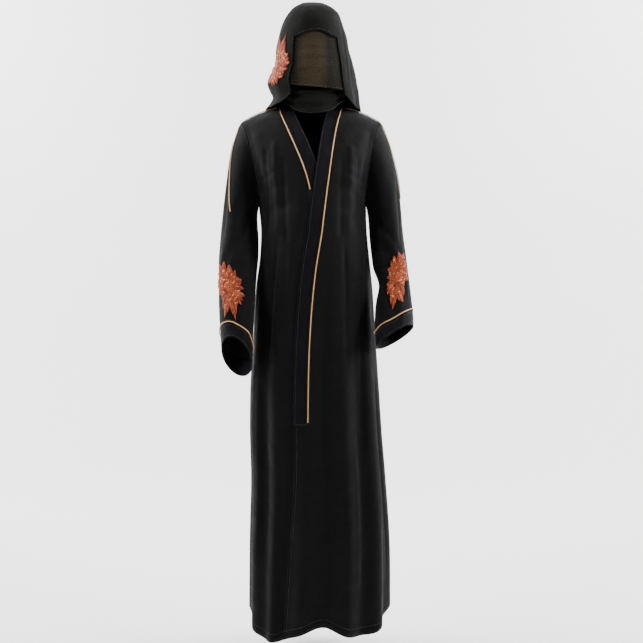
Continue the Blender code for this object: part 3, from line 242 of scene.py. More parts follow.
YOKE_FOLDS = table(
    "face x z to_x to_z depth spread",
    ("front", -0.176, -0.075, -0.132, -0.225, -0.0060, 0.013),
    ("front", -0.140, -0.245, -0.062, -0.205, -0.0018, 0.013),
    ("front", -0.130, -0.300, -0.050, -0.262, -0.0015, 0.014),
    ("front", -0.150, -0.090, -0.098, -0.190, 0.0035, 0.016),
    ("front", 0.172, -0.075, 0.140, -0.225, -0.0060, 0.013),
    ("front", 0.142, -0.255, 0.084, -0.215, -0.0016, 0.013),
    ("front", -0.098, -0.110, -0.088, -0.330, 0.0034, 0.008),
    ("front", -0.121, -0.130, -0.116, -0.340, -0.0036, 0.007),
    ("front", -0.074, -0.150, -0.066, -0.360, -0.0028, 0.007),
    ("front", 0.108, -0.120, 0.104, -0.340, 0.0034, 0.008),
    ("front", 0.129, -0.150, 0.125, -0.350, -0.0034, 0.007),
    ("front", 0.084, -0.160, 0.082, -0.350, -0.0026, 0.007),
    ("front", 0.140, -0.090, 0.104, -0.200, 0.0035, 0.016),
    ("front", -0.136, -0.200, -0.085, -0.178, -0.0024, 0.007),
    ("front", 0.145, -0.205, 0.098, -0.188, -0.0022, 0.007),
    ("front", 0.128, -0.300, 0.080, -0.330, -0.0022, 0.008),
    ("back", -0.150, -0.090, -0.110, -0.260, -0.0050, 0.015),
    ("back", 0.148, -0.090, 0.112, -0.250, -0.0055, 0.015),
    ("back", -0.060, -0.150, -0.050, -0.320, 0.0050, 0.018),
    ("back", 0.055, -0.140, 0.062, -0.320, 0.0045, 0.018),
    ("back", -0.130, -0.240, -0.060, -0.290, -0.0026, 0.009),
    ("back", 0.132, -0.235, 0.058, -0.280, -0.0026, 0.009),
)


def creases(across, down, rows):
    """The sum of creases, each a bell across its line; it fades evenly over a quarter of its length."""
    total = np.zeros(np.broadcast(across, down).shape)
    for row in rows:
        share = (down - row["start"]) / (row["end"] - row["start"])
        centre = row["from"] + (row["to"] - row["from"]) * np.clip(share, 0, 1)
        fade = smooth_step(4 * share) * smooth_step(4 * (1 - share))
        total += row["depth"] * fade * bell(angle_between(across, centre), row["spread"])
    return total


def body_fold(angle, height):
    """Long folds: each depth times a bell round its own angle, grown in below its starting height."""
    low = np.clip((PLACKET_END - height) / (PLACKET_END - HEM_HEIGHT), 0, 1)
    total = np.zeros(np.shape(angle))
    for fold in BODY_FOLDS:
        centre = fold["knee"] + (fold["hem"] - fold["knee"]) * low
        grown = smooth_step((fold["start"] - height) / FOLD_GROWTH)
        spread = fold["spread"] * (1 + FOLD_WIDENING * low)
        total += fold["depth"] * grown * bell(angle_between(angle, centre), spread)
    return total + creases(angle, height, BODY_CREASES)


def yoke_fold(grid, face):
    """Upper folds: each depth times a bell of the distance from its line in the front view."""
    total = np.zeros(grid.shape[:2])
    place = grid[..., [0, 2]]
    for fold in YOKE_FOLDS:
        if fold["face"] == face:
            start = np.array([fold["x"], fold["z"]])
            line = np.array([fold["to_x"], fold["to_z"]]) - start
            share = np.clip((place - start) @ line / (line @ line), 0, 1)
            distance = np.linalg.norm(place - start - share[..., None] * line, axis=-1)
            total += fold["depth"] * bell(distance, fold["spread"])
    return total


print("long folds:", len(BODY_FOLDS), "short creases:", len(BODY_CREASES) + len(YOKE_FOLDS))

# %% [markdown]
# Panels
#
# A panel is a grid of points. Where two panels meet, their edge points are the same, so a seam
# is closed by itself. The outward direction of a point is the sum of the faces around it, over
# all the panels that share it, so that a seam is as smooth as the cloth beside it. Where a panel's
# own direction is too unlike the shared one, as at a sharp edge, it keeps its own.

# %% Panels
LEAST_LIKENESS = 0.70


class Panel:
    """A grid of points and the side that faces out; a closed one joins its last column to its first."""

    def __init__(self, grid, flip=False, closed=False):
        self.grid, self.flip, self.closed, self.outward = grid, flip, closed, None

    def cells(self, mask=None):
        """The four corner numbers of each cell of the grid that the mask keeps."""
        rows, columns = self.grid.shape[:2]
        number = np.arange(rows * columns).reshape(rows, columns)
        if self.closed:
            number = np.concatenate([number, number[:, :1]], axis=1)
        low, high = number[:-1], number[1:]
        cells = np.stack([low[:, :-1], low[:, 1:], high[:, 1:], high[:, :-1]], axis=-1)
        cells = cells.reshape(-1, 4) if mask is None else cells[mask]
        return cells[:, ::-1] if self.flip else cells

    def cloth_map(self):
        """Lengths in metres along the columns and up the rows, as an even map of the cloth."""
        grid = self.grid
        across = np.linalg.norm(np.diff(grid, axis=1), axis=-1).mean(axis=0)
        up = np.linalg.norm(np.diff(grid, axis=0), axis=-1).mean(axis=1)
        u, v = np.concatenate([[0], np.cumsum(across)]), np.concatenate([[0], np.cumsum(up)])
        return np.stack(np.meshgrid(u, v), axis=-1).reshape(-1, 2)


def join(panels):
    """Outward directions: the cross products of all cells' diagonals, summed over points at one place."""
    points = np.concatenate([panel.grid.reshape(-1, 3) for panel in panels])
    places = np.unique(np.round(points, 6), axis=0, return_inverse=True)[1].reshape(-1)
    own = np.zeros_like(points)
    start = 0
    for panel in panels:
        cells = panel.cells() + start
        a, b, c, d = (points[cells[:, corner]] for corner in range(4))
        areas = np.cross(c - a, d - b)
        for corner in range(4):
            np.add.at(own, cells[:, corner], areas)
        start += panel.grid.shape[0] * panel.grid.shape[1]
    sums = np.zeros((places.max() + 1, 3))
    np.add.at(sums, places, own)
    shared, own = unit(sums[places]), unit(own)
    likeness = (shared * own).sum(axis=-1, keepdims=True)
    outward = np.where(likeness > LEAST_LIKENESS, shared / np.maximum(likeness, LEAST_LIKENESS), own)
    start, directions = 0, []
    for panel in panels:
        stop = start + panel.grid.shape[0] * panel.grid.shape[1]
        panel.outward = outward[start:stop].reshape(panel.grid.shape)
        directions.append(shared[start:stop].reshape(panel.grid.shape))
        start = stop
    return directions


def drawn_back(grid, *seams):
    """The grid with each seam's points moved half a gap towards a neighbour, given as steps."""
    moved = grid.copy()
    row_numbers, column_numbers = np.indices(grid.shape[:2])
    for rows, columns, row_step, column_step in seams:
        row, column = row_numbers[rows, columns], column_numbers[rows, columns]
        neighbour = grid[row + row_step, column + column_step]
        moved[row, column] += HALF_GAP * unit(neighbour - grid[row, column])
    return moved


def on_grid(grid, row, column):
    """Points at fractional rows and columns: the four corners of the cell, each times its share."""
    row = np.clip(row, 0, grid.shape[0] - 1.0001)
    column = np.clip(column, 0, grid.shape[1] - 1.0001)
    low, near = row.astype(int), column.astype(int)
    up, across = (row - low)[..., None], (column - near)[..., None]
    return (
        grid[low, near] * (1 - up) * (1 - across)
        + grid[low, near + 1] * (1 - up) * across
        + grid[low + 1, near] * up * (1 - across)
        + grid[low + 1, near + 1] * up * across
    )


def all_round(grid):
    """A closed grid with its first column once more at the end, so that it can be read all round."""
    return np.concatenate([grid, grid[:, :1]], axis=1)


trial = Panel(np.array([[[0, 0, 0], [1, 0, 0]], [[0, 0, 1], [1, 0, 1.0]]]))
join([trial])
print("a flat panel faces:", trial.outward[0, 0])

# %% [markdown]
# From points to pieces
#
# A piece of cloth is a wall: the outer points, the inner points a cloth's thickness behind them,
# and a rim along every open edge. The rim is found by looking for cell edges that no other cell
# runs along the other way. Every piece also keeps a map of its own cloth in metres, which the
# weave of its finish follows.

# %% Meshes
def piece(name, points, faces, finish, cloth_map=None):
    """A mesh object from arrays, which rides with the robe and takes its finish as its material."""
    mesh = bpy.data.meshes.new(name)
    mesh.from_pydata(points.tolist(), [], faces)
    mesh.shade_smooth()
    if cloth_map is not None:
        corners = np.zeros(len(mesh.loops), int)
        mesh.loops.foreach_get("vertex_index", corners)
        layer = mesh.uv_layers.new(name="cloth")
        layer.uv.foreach_set("vector", cloth_map[corners].ravel().astype(np.float32))
    mesh.materials.append(finish)
    made = placed(name, mesh)
    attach(made, "root")
    return made


def wall_faces(cells, count):
    """The cells, the same cells reversed on the inner points, and a rim along the open edges."""
    edges = np.concatenate([np.stack([cells[:, k], cells[:, (k + 1) % 4]], axis=1) for k in range(4)])
    edges = edges[edges[:, 0] != edges[:, 1]]
    keys = edges[:, 0] * count + edges[:, 1]
    open_edges = edges[~np.isin(keys, edges[:, 1] * count + edges[:, 0])]
    a, b = open_edges[:, 0], open_edges[:, 1]
    rim = np.stack([b, a, a + count, b + count], axis=1)
    return np.concatenate([cells, cells[:, ::-1] + count, rim])


def pole_cells(rows, columns):
    """Cells from the last ring of a grid to one point after it, each with that corner doubled."""
    last = np.arange((rows - 1) * columns, rows * columns)
    pole = np.full(columns, rows * columns)
    return np.stack([last, np.roll(last, -1), pole, pole], axis=1)


def wall(name, outer, inner, cells, finish, cloth_map=None):
    """A closed wall between two like sets of points; cells with a doubled corner are triangles."""
    faces = wall_faces(cells, len(outer))
    points = np.concatenate([outer, inner])
    used, faces = np.unique(faces, return_inverse=True)
    faces = faces.reshape(-1, 4)
    if cloth_map is not None:
        cloth_map = np.concatenate([cloth_map, cloth_map])[used]
    faces = [list(dict.fromkeys(face)) for face in faces.tolist()]
    return piece(name, points[used], faces, finish, cloth_map)


def cloth(name, panel, finish, grid=None, mask=None, thickness=CLOTH):
    """A panel's wall, with its thickness inside the given grid or the panel's own."""
    grid = panel.grid if grid is None else grid
    inner = grid - panel.outward * thickness
    cloth_map = panel.cloth_map()
    return wall(name, grid.reshape(-1, 3), inner.reshape(-1, 3), panel.cells(mask), finish, cloth_map)


def area_of(made):
    """Half the surface of a closed wall, which is the area of its cloth."""
    return sum(face.area for face in made.data.polygons) / 2


print("faces round one cell:", len(wall_faces(trial.cells(), 4)))

# %% [markdown]
# Shader maths
#
# A finish is a network of nodes, which reads best as arithmetic. The small class below wraps a
# socket, so that noise * 0.2 + 0.5 adds the two Math nodes by itself. Colours go through one
# method that adds any other node, because a Math node would turn them grey.

# %% Finishes as expressions
class Field:
    """A value that varies over a surface; arithmetic on it adds Math nodes to the finish."""

    def __init__(self, finish, socket):
        self.finish, self.socket = finish, socket

    def maths(self, operation, first, second):
        """One Math node on two values, each a field or a number."""
        return self.finish.node("ShaderNodeMath", {"operation": operation}, {0: first, 1: second})

    def __add__(self, other):
        return self.maths("ADD", self, other)

    def __sub__(self, other):
        return self.maths("SUBTRACT", self, other)

    def __rsub__(self, other):
        return self.maths("SUBTRACT", other, self)

    def __mul__(self, other):
        return self.maths("MULTIPLY", self, other)

    __radd__, __rmul__ = __add__, __mul__


class Finish:
    """A material with one Principled shader. Constants are set on its sockets, and fields are linked."""

    def __init__(self, name, **constants):
        self.material = bpy.data.materials.new(name)
        self.material.use_nodes = True
        self.tree = self.material.node_tree
        self.shader = self.tree.nodes["Principled BSDF"]
        for socket, value in constants.items():
            self.shader.inputs[socket.replace("_", " ")].default_value = value

    def node(self, kind, settings=None, inputs=None, output=0):
        """A node of any kind: its settings first, then its sockets' values or links."""
        made = self.tree.nodes.new(kind)
        for key, value in (settings or {}).items():
            if key == "stops":
                ramp = made.color_ramp.elements
                while len(ramp) < len(value):
                    ramp.new(0.5)
                for stop, (place, colour) in zip(ramp, value):
                    stop.position, stop.color = place, (*colour, 1.0)
            else:
                setattr(made, key, value)
        for key, value in (inputs or {}).items():
            if isinstance(value, Field):
                self.tree.links.new(value.socket, made.inputs[key])
            else:
                made.inputs[key].default_value = value
        return Field(self, made.outputs[output])

    def feed(self, socket, field):
        """Links a field to a socket of the shader."""
        self.tree.links.new(field.socket, self.shader.inputs[socket])

    def place(self):
        """Object coordinates in metres."""
        return self.node("ShaderNodeTexCoord", output="Object")

    def cloth_place(self):
        """The piece's own map of its cloth, in metres."""
        return self.node("ShaderNodeUVMap", {"uv_map": "cloth"})

    def noise(self, where, scale, detail=2.0, rough=0.5):
        """Soft noise with this many patches to the metre."""
        return self.node("ShaderNodeTexNoise", None,
                         {"Vector": where, "Scale": scale, "Detail": detail, "Roughness": rough})

    def bands(self, where, period, direction, distortion=0.0):
        """Even waves with this period in metres along one direction of the map."""
        return self.node("ShaderNodeTexWave", {"bands_direction": direction},
                         {"Vector": where, "Scale": 2 * math.pi / 20 / period, "Distortion": distortion})

    def mix(self, factor, first, second):
        """A colour between two, each a field or four numbers."""
        return self.node("ShaderNodeMix", {"data_type": "RGBA"}, {0: factor, 6: first, 7: second}, output=2)

    def between(self, factor, first, second):
        """A colour between two plain colours."""
        return self.mix(factor, (*first, 1.0), (*second, 1.0))

    def bump(self, height, distance, strength=1.0, under=None):
        """A bump of this height in metres, over another bump if there is one."""
        inputs = {"Height": height, "Distance": distance, "Strength": strength}
        if under:
            inputs["Normal"] = under
        return self.node("ShaderNodeBump", None, inputs)


print("a finish can give:", [method for method in vars(Finish) if not method.startswith("_")])

# %% [markdown]
# Crepe, satin and veiling
#
# Black cloth is never one black. The robe's crepe is a matte, faintly pebbled weave that turns
# grey where the light grazes it. The bands are smoother. The scarf is softer and a little
# browner, and the veil is a thin open weave that lets some of what is behind it through. Each
# finish mixes two near colours by slow noise and adds the weave as a very low bump. The robe and
# the scarf keep a trace of lint. The sheer veil's middle is painted lighter and browner: painted
# light, standing for light that shows through it from behind.

# %% Cloth finishes
SHEEN_TINT, LINT_COLOUR = (0.80, 0.80, 0.84, 1.0), (0.20, 0.19, 0.18, 1.0)
LINT_SCALE, LINT_STOPS = 260.0, ((0.70, (0, 0, 0)), (0.78, (1, 1, 1)))
# Painted light on the sheer veil: the middle of its lighter, browner patch, its level there, and how fast it
# falls off to the sides.
PAINTED_LIGHT_MIDDLE, PAINTED_LIGHT_LEVEL, PAINTED_LIGHT_FALL = 0.004, 1.15, 620.0
CRUMPLE_SCALE, CRUMPLE_HEIGHT = 15.0, 0.0110


def woven(name, dark, light, rough, thread, pebble, sheen, alpha=1.0, lint=0.0, painted_light=None):
    """Slow noise mixes two colours; threads run both ways over a pebbled ground and soft crumples."""
    finish = Finish(name, Sheen_Weight=sheen, Sheen_Roughness=0.50, Specular_IOR_Level=0.05)
    finish.shader.inputs["Sheen Tint"].default_value = SHEEN_TINT
    space, lay = finish.place(), finish.cloth_place()
    slow = finish.noise(space, 7.0, 3.0)
    pebbles = finish.noise(lay, 1 / pebble, 3.0, 0.6)
    threads = finish.bands(lay, thread, "X", 1.5) + finish.bands(lay, thread, "Y", 1.5)
    colour = finish.between(slow * 0.7 + pebbles * 0.5 - 0.1, dark, light)
    # Painted light: the sheer veil's middle is painted lighter and browner, falling off as the square of the
    # sideways distance.
    if painted_light:
        beside = finish.node("ShaderNodeSeparateXYZ", None, {0: space}) - PAINTED_LIGHT_MIDDLE
        near = PAINTED_LIGHT_LEVEL - beside * beside * PAINTED_LIGHT_FALL
        colour = finish.mix(near, colour, finish.between(slow * 0.9 + pebbles * 0.4 - 0.15, *painted_light))
    if lint:
        specks = finish.noise(space, LINT_SCALE, 1.0)
        speck = finish.node("ShaderNodeValToRGB", {"stops": LINT_STOPS}, {"Fac": specks})
        colour = finish.mix(speck * lint, colour, LINT_COLOUR)
    finish.feed("Base Color", colour)
    finish.feed("Roughness", slow * 0.14 + pebbles * 0.10 + (rough - 0.12))
    crumples = finish.bump(finish.noise(space, CRUMPLE_SCALE, 2.0, 0.45), CRUMPLE_HEIGHT, 0.7)
    ground = finish.bump(pebbles, pebble * 0.22, 0.7, crumples)
    finish.feed("Normal", finish.bump(threads, thread * 0.10, 0.5, ground))
    if alpha < 1:
        open_weave = (1 - threads * 0.5) * pebbles
        finish.feed("Alpha", alpha - open_weave * 0.12)
    return finish.material


ROBE = woven("robe_crepe", (0.0016, 0.0016, 0.0019), (0.0044, 0.0044, 0.0049), 0.73, 0.0007, 0.0016, 0.036,
             lint=0.02)
BAND = woven("band_satin_back", (0.0015, 0.0014, 0.0022), (0.0040, 0.0037, 0.0052), 0.62, 0.0005, 0.0030,
             0.025)
SCARF = woven("scarf_crepe", (0.0020, 0.0021, 0.0018), (0.0052, 0.0054, 0.0046), 0.78, 0.0006, 0.0014, 0.035,
              lint=0.015)
VEIL = woven("veil_chiffon", (0.0060, 0.0050, 0.0036), (0.0120, 0.0100, 0.0070), 0.80, 0.0006, 0.0014, 0.03)
# The sheer veil gets painted light in its middle, standing for light from behind that shows through it.
SHEER = woven("veil_sheer", (0.0050, 0.0044, 0.0034), (0.0100, 0.0086, 0.0064), 0.80, 0.0006, 0.0014, 0.03,
              alpha=0.86, painted_light=((0.020, 0.0145, 0.0080), (0.040, 0.029, 0.016)))
print("cloth finishes:", [made.name for made in (ROBE, BAND, SCARF, VEIL, SHEER)])

# %% [markdown]
# Cord, thread and beads
#
# The cords that edge the bands are pale gold satin, twisted, so their bump runs round them at a
# slant. The ornaments are rust-red threadwork on a dark lace ground, in threads that vary from
# dark to bright, and among them lie small glossy beads and flat round sequins.

# %% Trim finishes
def satin_cord():
    """Slanted waves along the cord's own map give the twist; slow noise tarnishes it a little."""
    finish = Finish("piping_gold_satin", Roughness=0.40, Sheen_Weight=0.05, Specular_IOR_Level=0.30)
    lay = finish.cloth_place()
    twist = finish.bands(lay, 0.0022, "DIAGONAL")
    age = finish.noise(finish.place(), 40.0)
    shade = age * 0.6 + twist * 0.5 - 0.05
    finish.feed("Base Color", finish.between(shade, (0.36, 0.19, 0.065), (0.60, 0.35, 0.14)))
    finish.feed("Normal", finish.bump(twist, 0.0003, 0.8))
    return finish.material


def threadwork(name, dark, light, rough, coat=0.0, metallic=0.0):
    """Fine slanted threads and slow noise between a dark and a bright colour."""
    finish = Finish(name, Metallic=metallic, Coat_Weight=coat, Coat_Roughness=0.12, Specular_IOR_Level=0.22)
    space = finish.place()
    threads = finish.bands(space, 0.0012, "DIAGONAL", 4.0)
    slow = finish.noise(space, 90.0, 3.0)
    finish.feed("Base Color", finish.between(slow * 1.3 + threads * 0.35 - 0.35, dark, light))
    finish.feed("Roughness", slow * 0.2 + (rough - 0.1))
    finish.feed("Normal", finish.bump(threads, 0.00025, 0.8))
    return finish.material


def stitching(name, colour):
    """A plain thread with a soft sheen; its twist is a fine noise."""
    finish = Finish(name, Roughness=0.5, Sheen_Weight=0.2)
    grain = finish.noise(finish.place(), 900.0)
    finish.feed("Base Color", finish.between(grain, tuple(0.7 * part for part in colour), colour))
    return finish.material


CORD = satin_cord()
LEAF = threadwork("leaf_thread", (0.060, 0.006, 0.002), (0.300, 0.042, 0.008), 0.60)
PETAL = threadwork("petal_thread", (0.120, 0.013, 0.003), (0.400, 0.074, 0.016), 0.55)
BEAD = threadwork("rust_bead", (0.200, 0.026, 0.006), (0.700, 0.200, 0.060), 0.26, coat=0.7)
SEQUIN = threadwork("copper_sequin", (0.420, 0.075, 0.020), (0.880, 0.320, 0.120), 0.28, coat=0.3,
                    metallic=0.7)
LACE = threadwork("lace_ground", (0.050, 0.005, 0.002), (0.180, 0.024, 0.006), 0.64)
STITCH = stitching("black_stitch", (0.030, 0.030, 0.032))
print("trim finishes:", [made.name for made in (CORD, LEAF, PETAL, BEAD, SEQUIN, LACE, STITCH)])

# %% [markdown]
# The tube of the body
#
# Below the armpits the body is one rounded tube, read from its sections. A power a little under
# one on sine and cosine makes each section fuller than an ellipse, as cloth over a chest is. The
# hem is not level, so rows near it are raised by an amount that changes round the body.

# %% Sections of the body
def rounded(angle, left, right, front, back):
    """x and y of a section: width times sine and depth times cosine, both to the power of its roundness."""
    turn = np.radians(angle)
    side, ahead = np.sin(turn), np.cos(turn)
    width, depth = np.where(side > 0, left, right), np.where(ahead > 0, front, back)
    x = width * np.sign(side) * np.abs(side) ** ROUNDNESS
    y = -depth * np.sign(ahead) * np.abs(ahead) ** ROUNDNESS
    return x, y


def body_point(angle, height):
    """The rounded section at this height, at this angle."""
    half, front, back, middle = (read(BODY_SECTIONS, column, height)
                                 for column in ("half_width", "front", "back", "middle"))
    x, y = rounded(angle, half, half, front, back)
    return np.stack([x + middle, y, height + 0 * x], axis=-1)


def body_angle(x, height):
    """The inverse of the section: the arc sine of the share of its half width."""
    share = (x - read(BODY_SECTIONS, "middle", height)) / read(BODY_SECTIONS, "half_width", height)
    return np.degrees(np.arcsin(np.sign(share) * np.abs(share) ** (1 / ROUNDNESS)))


def hem_height(height, angle):
    """Rows near the hem, raised by the hem's own unevenness at this angle."""
    share = smooth_step((height - HEM_LIFT_START) / (HEM_HEIGHT - HEM_LIFT_START))
    return height + share * read(HEM_LIFTS, "lift", angle, key="angle")


def lower_heights():
    """Even rows from the hem to the end of the band, and even rows from there to the yoke line."""
    below = np.linspace(HEM_HEIGHT, PLACKET_END, HEM_ROWS + 1)
    return np.concatenate([below, np.linspace(PLACKET_END, YOKE_HEIGHT, PLACKET_ROWS + 1)[1:]])


print("left side at the hem:", np.round(body_point(np.array(90.0), np.array(HEM_HEIGHT)), 3))

# %% [markdown]
# Lines that pieces share
#
# Neighbouring pieces meet on the same line: the armhole, the side seam, the shoulder seam and
# the neck seam. Each line is one function of a share of its length, so that two pieces which
# read it at the same shares get the same points.

# %% Seam lines
ARMHOLE_LEAVES, ARMHOLE_ARRIVES = np.array([-0.02, 0.20, 0.17]), np.array([0.06, -0.27, 0.0])


def armhole_curve(side, towards):
    """A cubic from the armpit to the shoulder tip that leaves and arrives along given directions."""
    armpit = body_point(np.array(90.0 * side), np.array(ARMPIT_HEIGHT))
    tip = SHOULDER_TIP * [side, 1, 1]
    flip = np.array([side, towards, 1])
    share = np.linspace(0, 1, ARMHOLE_ROWS + 1)[:, None]
    return cubic(armpit, ARMHOLE_LEAVES * flip, tip, ARMHOLE_ARRIVES * flip, share)


def side_boundary(side, towards):
    """The side seam from the yoke line to the armpit, and the armhole above it."""
    heights = np.linspace(YOKE_HEIGHT, ARMPIT_HEIGHT, YOKE_ROWS + 1)[:-1]
    seam = body_point(np.full(YOKE_ROWS, 90.0 * side), heights)
    return np.concatenate([seam, armhole_curve(side, towards)])


def shoulder_line(side, shares):
    """A smooth curve from the neck point over a slightly raised middle to the shoulder tip."""
    middle = (NECK_POINT + SHOULDER_TIP) / 2 + [0, 0, SHOULDER_RISE]
    return along([NECK_POINT, middle, SHOULDER_TIP], shares) * [side, 1, 1]


def neck_seam(shares):
    """Half an ellipse round the back of the neck, from the left neck point (-1) to the right one (1)."""
    turn = np.asarray(shares) * math.pi / 2
    ahead = np.cos(turn)
    x, y, z = -NECK_POINT[0] * np.sin(turn), NECK_BACK_DEPTH * ahead, -NECK_BACK_DROP * ahead
    return np.stack([x, y, z], axis=-1)


def collar_edge(shares):
    """The band's free edge round the neck: a smaller half ellipse that stands higher."""
    turn = np.asarray(shares) * math.pi / 2
    rise = COLLAR_RISE - NECK_BACK_DROP * np.cos(turn)
    return np.stack([-COLLAR_HALF_WIDTH * np.sin(turn), COLLAR_DEPTH * np.cos(turn), rise], axis=-1)


print("half of the armhole: %.3f m" % np.linalg.norm(np.diff(armhole_curve(1, -1), axis=0), axis=1).sum())

# %% [markdown]
# The two fronts
#
# Above the armpits a front is a patch stretched between four edges: the row below it, the
# shoulder seam, the side seam with the armhole, and the band's seam. Such a patch follows all
# four edges exactly, which is how a flat pattern piece behaves once it is sewn in. Beside the
# patch runs a strip of the band's own width. The wearer's right front steps down where the left
# one laps over it.

# %% Fronts
def blended_patch(bottom, top, start, end):
    """The blend of bottom and top, plus the blend of both sides, less the blend of the corners."""
    up = np.linspace(0, 1, len(start))[:, None, None]
    across = np.linspace(0, 1, len(bottom))[None, :, None]
    corners = (
        (1 - up) * (1 - across) * bottom[0] + (1 - up) * across * bottom[-1]
        + up * (1 - across) * top[0] + up * across * top[-1]
    )
    between_rows = (1 - up) * bottom[None] + up * top[None]
    between_columns = (1 - across) * start[:, None] + across * end[:, None]
    return between_rows + between_columns - corners


def front_lower(side):
    """A front below the yoke line: even columns over the band, then even ones to the side seam."""
    heights = lower_heights()[:, None]
    edge = read(FRONT_EDGE, "edge", heights)
    band_shares = np.linspace(0, 1, BAND_COLUMNS + 1)[None]
    band = body_angle(edge + BAND_WIDTH * band_shares, heights)
    band = band if side > 0 else band[:, ::-1]
    panel_shares = np.linspace(0, 1, FRONT_COLUMNS + 1)[None, 1:]
    panel = band[:, -1:] + (90.0 * side - band[:, -1:]) * panel_shares
    angles = np.concatenate([band, panel], axis=1)
    return body_point(angles, hem_height(heights, angles)), angles


def front_upper(side, lower_row):
    """A front above the yoke line: a blended patch, and beside it a strip of the band's own width."""
    rows = YOKE_ROWS + ARMHOLE_ROWS + 1
    column = "left" if side > 0 else "right"
    seam = [lower_row[BAND_COLUMNS]]
    for row in BAND_SEAM[1:]:
        seam.append((row[column], CHEST_CURVE * row[column] ** 2 - row["front"], row["height"]))
    seam.append(NECK_POINT * [side, 1, 1])
    seam = along(seam, np.linspace(0, 1, rows))
    shoulder = shoulder_line(side, np.linspace(0, 1, FRONT_COLUMNS + 1))
    panel = blended_patch(lower_row[BAND_COLUMNS:], shoulder, seam, side_boundary(side, -1))

    up = np.linspace(0, 1, rows)[:, None]
    first = lower_row[0] - lower_row[BAND_COLUMNS]
    last = collar_edge(-side) - NECK_POINT * [side, 1, 1]
    run = unit(np.gradient(seam, axis=0))
    run[0] = [0, 0, 1]
    inward = first * (1 - up) + last * up
    inward = unit(inward - (inward * run).sum(axis=-1, keepdims=True) * run) * BAND_WIDTH
    shares = np.linspace(1, 0, BAND_COLUMNS + 1)[None, :-1, None]
    strip = seam[:, None] + inward[:, None] * shares
    height = strip[..., 2]
    on_chest = CHEST_CURVE * strip[..., 0] ** 2 - read(BAND_SEAM, "front", height)
    strip[..., 1] += (on_chest - strip[..., 1]) * smooth_step((BAND_SETTLES - height) / BAND_SETTLE_EASE)
    strip[0] = lower_row[:BAND_COLUMNS]
    return np.concatenate([strip, panel], axis=1)


def front_panel(side):
    """One front with its band, and the angle of each point."""
    lower, angles = front_lower(side)
    upper = front_upper(side, lower[-1])
    angles = np.concatenate([angles, np.repeat(angles[-1:], len(upper) - 1, axis=0)])
    return Panel(np.concatenate([lower, upper[1:]]), flip=side < 0), angles


def under_layer(grid):
    """The step down of the lower front where the upper one covers it, easing out beside it."""
    height = grid[..., 2]
    below = read(FRONT_EDGE, "edge", np.minimum(height, YOKE_HEIGHT))
    above = read(BAND_SEAM, "edge", np.maximum(height, YOKE_HEIGHT))
    edge = np.where(height < YOKE_HEIGHT, below, above)
    return -LAYER_STEP * smooth_step((grid[..., 0] - edge + LAP_REACH) / LAP_EASE)


fronts = {side: front_panel(side) for side in (1, -1)}
print("rows and columns of a front:", fronts[1][0].grid.shape[:2])

# %% [markdown]
# The back and the neck band
#
# The back is the tube's back half with a patch above it, which is pressed in a little between the
# shoulder blades. The band goes on from both fronts round the back of the neck, in two halves.

# %% Back and neck band
LEAST_SQUARENESS = 0.6

def back_panel():
    """The back: the tube's back half, and above it a patch that follows the hollow of a back."""
    heights = lower_heights()[:, None]
    columns = 2 * SHOULDER_COLUMNS + NECK_COLUMNS
    angles = np.repeat(np.linspace(90, 270, columns + 1)[None], len(heights), axis=0)
    lower = body_point(angles, hem_height(heights, angles))
    left = shoulder_line(1, np.linspace(1, 0, SHOULDER_COLUMNS + 1))
    right = shoulder_line(-1, np.linspace(0, 1, SHOULDER_COLUMNS + 1))
    top = np.concatenate([left, neck_seam(np.linspace(-1, 1, NECK_COLUMNS + 1))[1:-1], right])
    upper = blended_patch(lower[-1], top, side_boundary(1, 1), side_boundary(-1, 1))
    up, across = np.linspace(0, 1, len(upper))[:, None], np.linspace(-1, 1, columns + 1)[None]
    upper[..., 1] -= BACK_HOLLOW * np.sin(math.pi * up) * (1 - across**2)
    angles = np.concatenate([angles, np.repeat(angles[-1:], len(upper) - 1, axis=0)])
    return Panel(np.concatenate([lower, upper[1:]])), angles


def neck_strip(side, first_row):
    """Half of the band round the back of the neck, blended from its free edge to its seam."""
    shares = np.linspace(-side, 0, NECK_COLUMNS // 2 + 1)
    across = np.linspace(0, 1, BAND_COLUMNS + 1)[None, :, None]
    grid = collar_edge(shares)[:, None] * (1 - across) + neck_seam(shares)[:, None] * across
    grid[0] = first_row
    return Panel(grid, flip=side < 0)


def square_to_shoulder(panel, columns, side):
    """Gives a shoulder edge the direction at right angles to its seam, as its neighbour has."""
    run = unit(SHOULDER_TIP - NECK_POINT) * [side, 1, 1]
    square = unit(np.array([0, 0, 1.0]) - run[2] * run)
    own = panel.outward[-1, columns]
    likeness = (own * square).sum(axis=-1, keepdims=True)
    panel.outward[-1, columns] = square / np.maximum(likeness, LEAST_SQUARENESS)


back, back_angles = back_panel()
strips = {side: neck_strip(side, fronts[side][0].grid[-1, : BAND_COLUMNS + 1]) for side in (1, -1)}
print("rows and columns of the back:", back.grid.shape[:2])

# %% [markdown]
# Sleeves
#
# A wide sleeve is a tube of rings. Each ring is an ellipse between a point on the sleeve's outer
# line and one on its inner line, and the first ring is the armhole itself, so that the sleeve
# grows out of it with no step. The wearer's right forearm is lifted, so that cuff opens forward.

